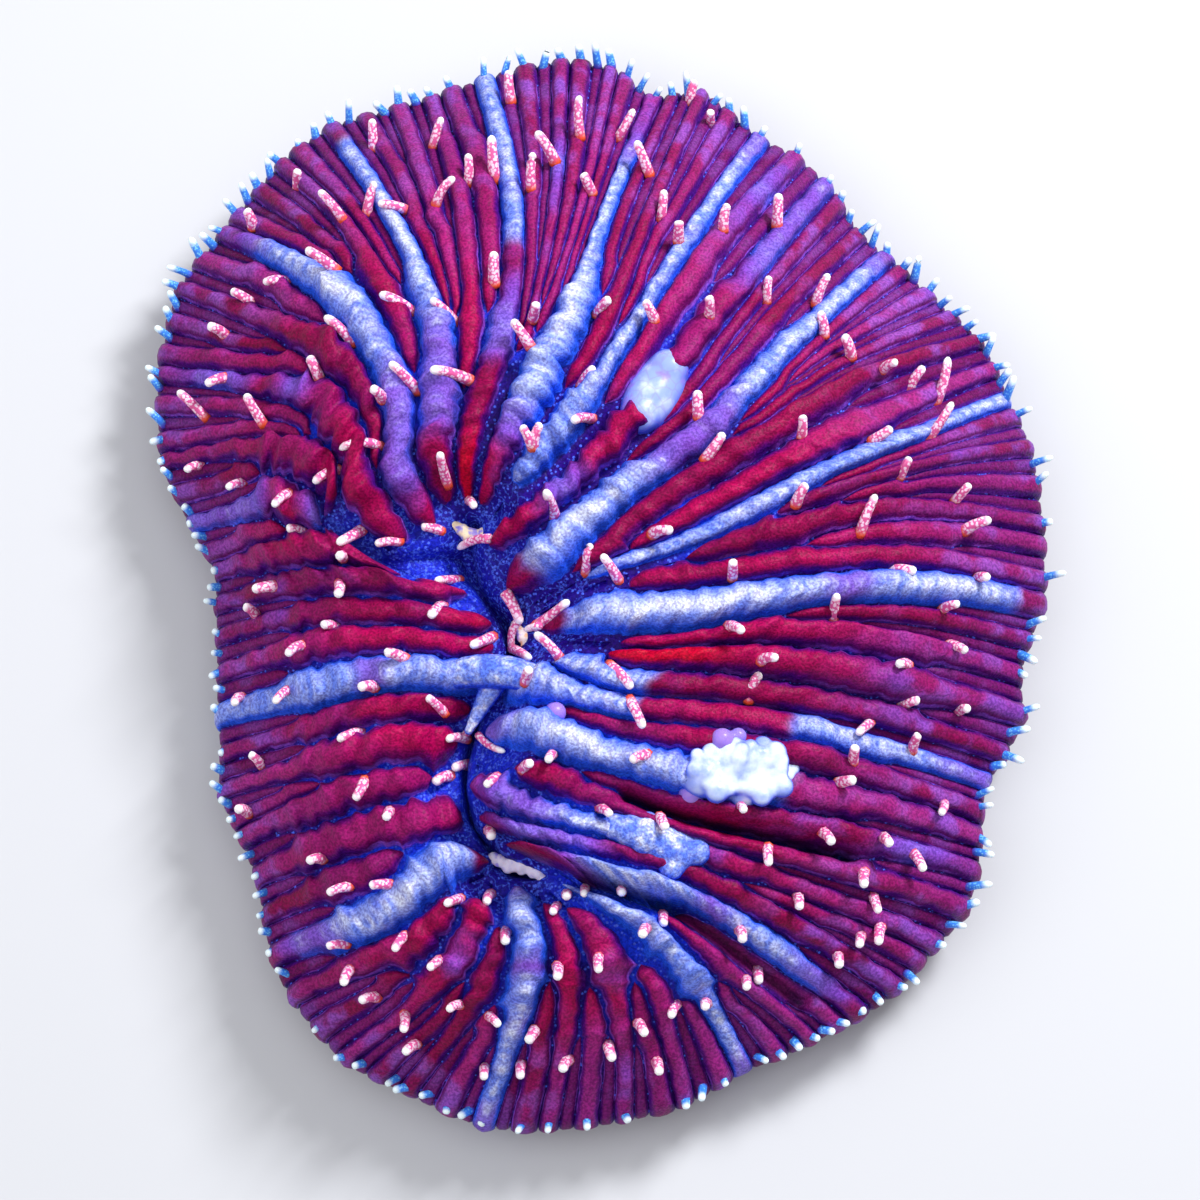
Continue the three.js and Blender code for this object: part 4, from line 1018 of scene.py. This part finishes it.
tentacle_skin, node = new_material("clear_tentacle_skin")
reach = node("Attribute", {"attribute_name": "reach"}, "Fac")
dots = node("TexVoronoi", None, "Distance", Vector=node("TexCoord", None, "Object"), Scale=3400.0)
dot_step = node("MapRange", SMOOTH, Value=dots, From_Min=0.38, From_Max=0.58)
body = node("Mix", COLOUR, 2, i0=dot_step, i6=linear("f8d4ea"), i7=linear("dc5c9c"))
at_tip = node("MapRange", SMOOTH, Value=reach, From_Min=0.72, From_Max=0.98)
body = node("Mix", COLOUR, 2, i0=at_tip, i6=body, i7=linear("fbf4fb"))
at_foot = node("MapRange", SMOOTH, Value=reach, From_Min=0.22, From_Max=0.04)
body = node("Mix", COLOUR, 2, i0=at_foot, i6=body, i7=linear("e8542a"))
surface = node("BsdfPrincipled", Base_Color=body, Roughness=0.35, IOR=1.36,
               Subsurface_Weight=0.25, Subsurface_Radius=(0.8, 0.4, 0.6), Subsurface_Scale=0.0008)
node("OutputMaterial", Surface=surface)
inner_tentacles = joined(fingers, "inner_tentacles", tentacle_skin)
print("inner tentacles:", len(inner_tentacles.data.polygons), "faces")

# %% [markdown]
# ## Tentacles on the rim
# Small blue tentacles with pale tips stand at the ends of most ribs. They follow the ribs,
# so their places come from the rib lines, with a few left out and each turned a little.

# %% Rim tentacles
LEFT_OUT, MOST_TURN = 0.16, 0.6
RIM_LENGTHS, RIM_RADII, NORTH_EAST_EXTRA = (0.9, 1.5), (0.34, 0.46), (0.1, 0.9)
rim_fingers = []
for number, item in enumerate(ribs):
    if rng.random() < LEFT_OUT:
        continue
    end, before = item["crest"][0][-1], item["crest"][0][-8]
    out = (end - before) / np.linalg.norm(end - before)
    turn = rng.uniform(-MOST_TURN, MOST_TURN)
    out = np.array([out[0] * math.cos(turn) - out[1] * math.sin(turn),
                    out[0] * math.sin(turn) + out[1] * math.cos(turn)])
    north_east = 1.0 if end[1] > 12 or end[0] > 30 else 0.0
    length = rng.uniform(*RIM_LENGTHS) + north_east * rng.uniform(*NORTH_EAST_EXTRA)
    x, y = end - out * rng.uniform(-0.1, 0.6)
    z = MARGIN_HEIGHT + 0.5
    foot = (x, y, z)
    elbow = (x + out[0] * length * 0.35, y + out[1] * length * 0.35, z + length * 0.6)
    tip = (x + out[0] * length, y + out[1] * length, z + length * rng.uniform(0.5, 0.95))
    radius = rng.uniform(*RIM_RADII) * MM
    rim_fingers.append(bent_finger(f"rim_{number:03d}", *settled([foot, elbow, tip]), radius=radius))
print("rim tentacles:", len(rim_fingers))

# %% Rim tentacle skin
rim_skin, node = new_material("blue_tentacle_skin")
reach = node("Attribute", {"attribute_name": "reach"}, "Fac")
dots = node("TexVoronoi", None, "Distance", Vector=node("TexCoord", None, "Object"), Scale=4200.0)
dot_step = node("MapRange", SMOOTH, Value=dots, From_Min=0.25, From_Max=0.5)
body = node("Mix", COLOUR, 2, i0=dot_step, i6=linear("74c0f6"), i7=linear("3a7fe6"))
at_tip = node("MapRange", SMOOTH, Value=reach, From_Min=0.6, From_Max=0.88)
body = node("Mix", COLOUR, 2, i0=at_tip, i6=body, i7=linear("e4f4fe"))
at_foot = node("MapRange", SMOOTH, Value=reach, From_Min=0.3, From_Max=0.05)
body = node("Mix", COLOUR, 2, i0=at_foot, i6=body, i7=linear("5a46c8"))
surface = node("BsdfPrincipled", Base_Color=body, Roughness=0.35, IOR=1.36,
               Subsurface_Weight=0.2, Subsurface_Radius=(0.4, 0.6, 0.8), Subsurface_Scale=0.0006)
node("OutputMaterial", Surface=surface)
rim_tentacles = joined(rim_fingers, "rim_tentacles", rim_skin)
print("rim tentacles:", len(rim_tentacles.data.polygons), "faces")

# %% [markdown]
# ## Blisters
# Two places are blown up with water into blisters: a knobbly white one on the east side,
# and a smooth clear one north-east of the furrow. Balls are set where the knobs are and
# remeshed into one skin, which gives the soft creases between knobs that a single
# sphere would not have.

# %% Blister shapes
# knobs are x, y and radius in plan, in mm: six big ones, then small ones in a spiral over them
BIG_KNOBS = [(8.8, -21.6, 1.8), (10.2, -21.4, 2.2), (11.8, -21, 2.5),
             (13.4, -20.7, 2.4), (14.8, -20.5, 1.9), (15.8, -20.4, 1.4)]
WHITE_MIDDLE, WHITE_HALF, SPIRAL_KNOBS, SPIRAL_TURN = (12.4, -21), (4.6, 2.4), 46, 2.4
spiral_knobs = []
for step in range(SPIRAL_KNOBS):
    turn, out = SPIRAL_TURN * step, math.sqrt((step + 0.5) / SPIRAL_KNOBS)
    x = WHITE_MIDDLE[0] + WHITE_HALF[0] * out * math.cos(turn)
    y = WHITE_MIDDLE[1] + WHITE_HALF[1] * out * math.sin(turn)
    spiral_knobs.append((x, y, 0.55 + 0.55 * unevenness(step)))


def blister(name, knobs, cell, smoothing):
    """Balls (x, y, height, radius, all mm) remeshed into one soft piece."""
    balls = []
    for x, y, height, radius in knobs:
        bpy.ops.object.select_all(action="DESELECT")
        place = settled([(x, y, height)])[0]
        bpy.ops.mesh.primitive_ico_sphere_add(subdivisions=3, radius=radius * MM, location=place)
        balls.append(bpy.context.object)
    for ball in balls:
        ball.select_set(True)
    bpy.ops.object.join()
    piece = bpy.context.object
    piece.name = name
    bpy.ops.object.transform_apply(location=True, rotation=True, scale=True)
    remesh = piece.modifiers.new("one_skin", "REMESH")
    remesh.mode, remesh.voxel_size = "VOXEL", cell * MM
    bpy.ops.object.modifier_apply(modifier=remesh.name)
    soften = piece.modifiers.new("soften", "SMOOTH")
    soften.factor, soften.iterations = 0.5, smoothing
    bpy.ops.object.modifier_apply(modifier=soften.name)
    bpy.ops.object.shade_smooth()
    print(name, len(piece.data.polygons), "faces")
    return piece


def resting(knobs, sunk):
    """Knobs (x, y, radius) set on the skin, sunk into it by a share of their radius."""
    return [(x, y, skin_height(x, y) - sunk * radius, radius) for x, y, radius in knobs]


def heaped(big, small, sunk):
    """Big knobs resting on the skin, and small ones half sunk in the tops below them."""
    body = resting(big, sunk)
    for x, y, radius in small:
        tops = [skin_height(x, y)]
        for bx, by, height, r in body:
            if math.hypot(x - bx, y - by) < r:
                tops.append(height + math.sqrt(max(0, r * r - (x - bx) ** 2 - (y - by) ** 2)))
        body.append((x, y, max(tops) - 0.45 * radius, radius))
    return body


# %% The blisters: knobs, size of the remesh's cells in mm, and rounds of smoothing
white_blister = blister("white_blister", heaped(BIG_KNOBS, spiral_knobs, 0.5), cell=0.17, smoothing=7)
OVAL_MIDDLE, OVAL_LENGTH, OVAL_WIDTH, OVAL_TURN = (4.9, 13.4), 4.0, 2.5, math.radians(60)
oval_knobs = []
for step in np.linspace(-1, 1, 7):
    reach_along = step * OVAL_LENGTH * 0.62
    x = OVAL_MIDDLE[0] + math.cos(OVAL_TURN) * reach_along
    y = OVAL_MIDDLE[1] + math.sin(OVAL_TURN) * reach_along
    oval_knobs.append((x, y, OVAL_WIDTH * math.sqrt(1 - 0.45 * step * step)))
oval_blister = blister("oval_blister", resting(oval_knobs, 0.68), cell=0.2, smoothing=16)
SMALL_KNOBS = [(-3.8, -15.9, 0.95), (8.0, -22.9, 1.15), (10.6, -18.4, 1.0), (12, -18, 0.75)]
vesicles = blister("small_vesicles", resting(SMALL_KNOBS, 0.35), cell=0.15, smoothing=8)
SWOLLEN_KNOBS = [(1.4, -25.9, 1.2), (2.6, -26.2, 1.5), (3.9, -26.6, 1.7), (5.2, -27.1, 1.8),
                 (6.5, -27.7, 2.0), (7.4, -28.4, 1.8), (5.8, -25.9, 1.1), (4.2, -25.4, 1.0),
                 (8.4, -27.8, 1.2), (6.2, -29.2, 1.1)]
swollen_rib = blister("swollen_rib_end", resting(SWOLLEN_KNOBS, 0.62), cell=0.17, smoothing=6)

# %% [markdown]
# Blister skin is stretched thin over water: nearly white where it is thick and faces up,
# lavender where it is thin or clear, with a faint purple net of veins. The tops are painted
# lighter and the sides blue: painted shade, and painted light going through at the edges.

# %% Blister skin
blister_skin, node = new_material("stretched_blister_skin")
where = node("TexCoord", None, "Object")
cloud = node("TexNoise", None, "Fac", Vector=where, Scale=420.0, Detail=4.0)
veins = node("TexVoronoi", {"feature": "DISTANCE_TO_EDGE"}, "Distance", Vector=where, Scale=900.0)
milk = node("Attribute", {"attribute_name": "milk"}, "Fac")
upward = node("SeparateXYZ", None, "Z", Vector=node("NewGeometry", None, "Normal"))
# painted top light and shade: faces that point up are lighter, the sides blue
painted_top_light = node("MapRange", SMOOTH, Value=upward, From_Min=0.2, From_Max=0.8)
body = node("Mix", COLOUR, 2, i0=painted_top_light, i6=linear("3f5ee4"), i7=linear("8ea2f2"))
clear = node("MapRange", SMOOTH, Value=milk, From_Min=0.2, From_Max=0.0)
body = node("Mix", COLOUR, 2, i0=clear, i6=body, i7=linear("9a78d8"))
milky = node("Math", ADD, i0=cloud, i1=node("Math", TIMES, i0=milk, i1=0.24))
# milky white only on faces that point up: the skin's own milkiness, shown as painted top light
milky_white_on_painted_top = node("Math", TIMES, i0=node("MapRange", SMOOTH, Value=milky, From_Min=0.56, From_Max=0.82),
                 i1=node("MapRange", SMOOTH, Value=upward, From_Min=0.3, From_Max=0.9))
body = node("Mix", COLOUR, 2, i0=milky_white_on_painted_top, i6=body, i7=linear("d2dffa"))
thin = node("MapRange", SMOOTH, Value=milky, From_Min=0.5, From_Max=0.38)
body = node("Mix", COLOUR, 2, i0=thin, i6=body, i7=linear("8e7ae0"))
net = node("Math", TIMES, i0=node("MapRange", SMOOTH, Value=veins, From_Min=0.09, From_Max=0.01),
           i1=node("MapRange", SMOOTH, Value=milk, From_Min=1.1, From_Max=-0.4))
net = node("Math", TIMES, i0=net, i1=0.5)
body = node("Mix", COLOUR, 2, i0=net, i6=body, i7=linear("8c74e2"))
bump = node("Bump", Strength=0.4, Distance=0.0002, Height=cloud)
surface = node("BsdfPrincipled", Base_Color=body, Roughness=0.3, IOR=1.36, Normal=bump,
               Subsurface_Weight=0.3, Subsurface_Radius=(0.5, 0.6, 0.9), Subsurface_Scale=0.0012)
node("OutputMaterial", Surface=surface)
for piece, milkiness in ((white_blister, 1.0), (oval_blister, 0.25), (vesicles, 0.0)):
    mark(piece, "milk", milkiness)
    piece.data.materials.append(blister_skin)
    on_the_coral(piece)
print("blister nodes:", len(blister_skin.node_tree.nodes))

# %% [markdown]
# ## Mouths and threads
# The furrow holds the mouths, with knobbly cream lips and orange between them: one by the
# northern rib ends, a small one in the middle, and one at the southern end. North of the
# last two, pale tissue bridges the furrow. Lips and bridge are rows of balls remeshed, as
# the blisters are. Pale threads run from some rib ends, and are bent copies of the finger.

# %% The bridge of pale tissue over the furrow
WEST_BANK, EAST_BANK = (-13.2, -12.1), (-5.4, -12.9)
west_height, east_height = skin_height(*WEST_BANK), skin_height(*EAST_BANK)
bridge_knobs = []
for share in np.linspace(0, 1, 10):
    x = WEST_BANK[0] + (EAST_BANK[0] - WEST_BANK[0]) * share
    y = WEST_BANK[1] + (EAST_BANK[1] - WEST_BANK[1]) * share + 0.5 * math.sin(share * math.pi)
    radius = 1.25 + 0.25 * math.sin(share * math.pi)
    sunk = 0.9 + 0.7 * abs(2 * share - 1) ** 3
    bridge_knobs.append((x, y, west_height + (east_height - west_height) * share - radius * sunk, radius))
for share in np.linspace(0, 1, 7):
    radius = 1.1 - 0.65 * share
    bridge_knobs.append((-9.2 - 2.2 * share, -12.8 - 4 * share, west_height - 1.6 - 0.9 * share, radius))
pale_bridge = blister("pale_bridge", bridge_knobs, cell=0.17, smoothing=10)

# %% Skin of the bridge: the pale ribs' tissue, white on top and blue at the sides as painted shade
bridge_skin, node = new_material("pale_tissue")
where = node("TexCoord", None, "Object")
cloud = node("TexNoise", None, "Fac", Vector=where, Scale=900.0, Detail=4.0)
grain = node("TexNoise", None, "Fac", Vector=where, Scale=4200.0, Detail=2.0)
upward = node("SeparateXYZ", None, "Z", Vector=node("NewGeometry", None, "Normal"))
cloud_step = node("MapRange", SMOOTH, Value=cloud, From_Min=0.38, From_Max=0.56)
body = node("Mix", COLOUR, 2, i0=cloud_step, i6=linear("5f80f2"), i7=linear("9db2f7"))
white_cloud = node("MapRange", SMOOTH, Value=cloud, From_Min=0.54, From_Max=0.66)
body = node("Mix", COLOUR, 2, i0=white_cloud, i6=body, i7=linear("dfe6fb"))
# painted shade: faces that turn away from the top are painted blue
blue_side = node("MapRange", SMOOTH, Value=upward, From_Min=0.75, From_Max=0.2)
body = node("Mix", COLOUR, 2, i0=blue_side, i6=body, i7=linear("2a52ee"))
grain_step = node("MapRange", SMOOTH, Value=grain, From_Min=0.36, From_Max=0.64)
stipple = node("Mix", COLOUR, 2, i0=grain_step, i6=linear("c4bccc"), i7=linear("ffffff"))
body = node("Mix", COLOUR_TIMES, 2, i0=1.0, i6=body, i7=stipple)
bump = node("Bump", Strength=0.5, Distance=0.0002, Height=grain)
surface = node("BsdfPrincipled", Base_Color=body, Roughness=0.42, IOR=1.38, Specular_IOR_Level=0.12,
               Normal=bump, Subsurface_Weight=0.1, Subsurface_Radius=(0.6, 0.25, 0.4), Subsurface_Scale=0.001)
node("OutputMaterial", Surface=surface)
for piece in (pale_bridge, swollen_rib):
    piece.data.materials.append(bridge_skin)
    on_the_coral(piece)
print("bridge nodes:", len(bridge_skin.node_tree.nodes))

# %% Lips of the mouths
LIP_WARMTH = {"north_mouth_lips": 1.0, "middle_mouth_lips": 0.6, "south_mouth_lips": 0.12}
LIP_LINES = {
    "north_mouth_lips": [(-13.2, 2.5), (-12.4, 1.9), (-11.4, 1.5), (-10.4, 1.5), (-9.6, 1.9), (-9.0, 2.7)],
    "middle_mouth_lips": [(-7.5, -6.9), (-6.9, -7.4), (-6.4, -8.0), (-6.3, -8.8)],
    "south_mouth_lips": [(-9.1, -27.8), (-8.2, -28.1), (-7.3, -28.3), (-6.3, -28.7), (-5.5, -29.0),
                         (-4.7, -29.5)],
}
lip_skin, node = new_material("mouth_lip_skin")
where = node("TexCoord", None, "Object")
cloud = node("TexNoise", None, "Fac", Vector=where, Scale=1100.0, Detail=3.0)
warmth = node("Attribute", {"attribute_name": "warmth"}, "Fac")
cream = node("Mix", COLOUR, 2, i0=warmth, i6=linear("dcd6f6"), i7=linear("f6e4c4"))
cream_step = node("MapRange", SMOOTH, Value=cloud, From_Min=0.36, From_Max=0.5)
body = node("Mix", COLOUR, 2, i0=cream_step, i6=linear("9a8ce6"), i7=cream)
orange_step = node("MapRange", SMOOTH, Value=cloud, From_Min=0.56, From_Max=0.64)
orange_spots = node("Math", TIMES, i0=orange_step, i1=warmth)
body = node("Mix", COLOUR, 2, i0=orange_spots, i6=body, i7=linear("f2992a"))
surface = node("BsdfPrincipled", Base_Color=body, Roughness=0.35, IOR=1.36,
               Subsurface_Weight=0.25, Subsurface_Radius=(0.8, 0.5, 0.5), Subsurface_Scale=0.0008)
node("OutputMaterial", Surface=surface)


def bank_height(x, y):
    """Middling height of the skin within about a millimetre, where a lip is carried."""
    near = (-0.8, 0, 0.8)
    return float(np.mean([skin_height(x + dx, y + dy) for dx in near for dy in near])) + 0.5


KNOBS_PER_PLACE, LIP_SUNK, LIP_UNEVEN, MOST_STEP = 6, 0.62, 0.25, 1.2
for name, line in LIP_LINES.items():
    knobs, line = [], np.array(line)
    for share in np.linspace(0, 1, KNOBS_PER_PLACE * len(line)):
        x, y = (np.interp(share * (len(line) - 1), range(len(line)), line[:, k]) for k in (0, 1))
        x, y = x + rng.uniform(-0.2, 0.2), y + rng.uniform(-0.3, 0.3)
        knobs.append((x, y, bank_height(x, y) - LIP_SUNK, rng.uniform(0.32, 0.55)))
    level = np.median([height for _, _, height, _ in knobs])
    knobs = [(x, y, level + LIP_UNEVEN * max(-MOST_STEP, min(MOST_STEP, height - level)), r)
             for x, y, height, r in knobs]
    print(name, "lies at", round(level, 1), "mm")
    lips = blister(name, knobs, cell=0.1, smoothing=4)
    mark(lips, "warmth", LIP_WARMTH[name])
    lips.data.materials.append(lip_skin)
    on_the_coral(lips)

# %% Threads across the furrow
# each thread: foot, elbow and tip in plan, with how far each is lifted above the skin, and
# its radius
THREADS = [
    ((-8.3, -4.3, 0.9), (-7.3, -5.8, 1.2), (-7.0, -7.0, 1.0), 0.55),
    ((-7.2, -6.8, 1.0), (-8.2, -7.8, 1.6), (-7.6, -9.2, 1.2), 0.4),
    ((-7.8, -8.8, 1.2), (-6.8, -9.8, 1.4), (-6, -10.6, 0.9), 0.45),
    ((-9.7, 0.3, 0.9), (-11, 0.9, 1.6), (-12.6, 0.2, 0.9), 0.45),
    ((-5.6, -7.5, 0.8), (-4.6, -7.4, 1.5), (-6.6, -7.6, 1.0), 0.4),
    ((-11.2, -16, 0.8), (-11.6, -17, 1.4), (-12.4, -17.4, 0.9), 0.4),
    ((-10.6, -17, 0.6), (-9.8, -18.4, 1.3), (-8.2, -19, 0.8), 0.35),
]
NO_ORANGE_FOOT = 0.3


def lifted(x, y, lift):
    """A place in the plan, lifted above the skin there."""
    return (x, y, skin_height(x, y) + lift)


strands = []
for number, (foot, elbow, tip, radius) in enumerate(THREADS):
    places = settled([lifted(*foot), lifted(*elbow), lifted(*tip)])
    strands.append(bent_finger(f"thread_{number}", *places, radius=radius * MM, first_reach=NO_ORANGE_FOOT))
joined(strands, "furrow_threads", tentacle_skin)
bpy.data.objects.remove(finger)
print("threads:", len(strands))

# %% [markdown]
# ## Floor, light and camera
# The coral lies on a plain pale floor under soft studio light, which comes from the upper
# right and leaves the lower-left sides in shade. The camera looks down steeply.

# %% The stage
bpy.ops.object.select_all(action="DESELECT")
bpy.ops.mesh.primitive_plane_add(size=6, location=(0, 0, coral_low[2] - 0.0002))
floor = bpy.context.object
floor.name = "floor"
bpy.ops.object.transform_apply(location=True, rotation=True, scale=True)
paper, node = new_material("matt_paper")
node("OutputMaterial", Surface=node("BsdfPrincipled", Base_Color=linear("c4c6cc"), Roughness=0.9))
floor.data.materials.append(paper)


def soft_light(name, place, size, power):
    """A square lamp that faces the coral."""
    bpy.ops.object.light_add(type="AREA", location=place)
    lamp = bpy.context.object
    lamp.name, lamp.data.size, lamp.data.energy = name, size, power
    aim = Vector((0, 0, 0.01)) - Vector(place)
    lamp.rotation_euler = aim.to_track_quat("-Z", "Y").to_euler()


# each light: its place and its side in metres, and its power in watts
soft_light("key", (0.24, 0.26, 0.34), 0.12, 3.0)
soft_light("fill", (-0.34, -0.1, 0.36), 0.4, 0.9)
soft_light("top", (0, 0, 0.6), 0.5, 1.0)
world = bpy.data.worlds.new("studio")
world.use_nodes = True
world.node_tree.nodes["Background"].inputs[0].default_value = (1, 1, 1, 1)
world.node_tree.nodes["Background"].inputs[1].default_value = 0.4
bpy.context.scene.world = world
bpy.context.scene.view_settings.view_transform = "Standard"

# %% The camera
TARGET = Vector((0.0002, -0.0042, 0.012))
ELEVATION, DISTANCE = math.radians(76), 0.291
bpy.ops.object.camera_add()
camera = bpy.context.object
camera.data.lens = 100
camera.data.clip_start, camera.data.clip_end = 0.01, 10
camera.location = TARGET + Vector((0, -math.cos(ELEVATION), math.sin(ELEVATION))) * DISTANCE
camera.rotation_euler = (math.pi / 2 - ELEVATION, 0, 0)
bpy.context.scene.camera = camera
print("camera at", tuple(round(c, 4) for c in camera.location))
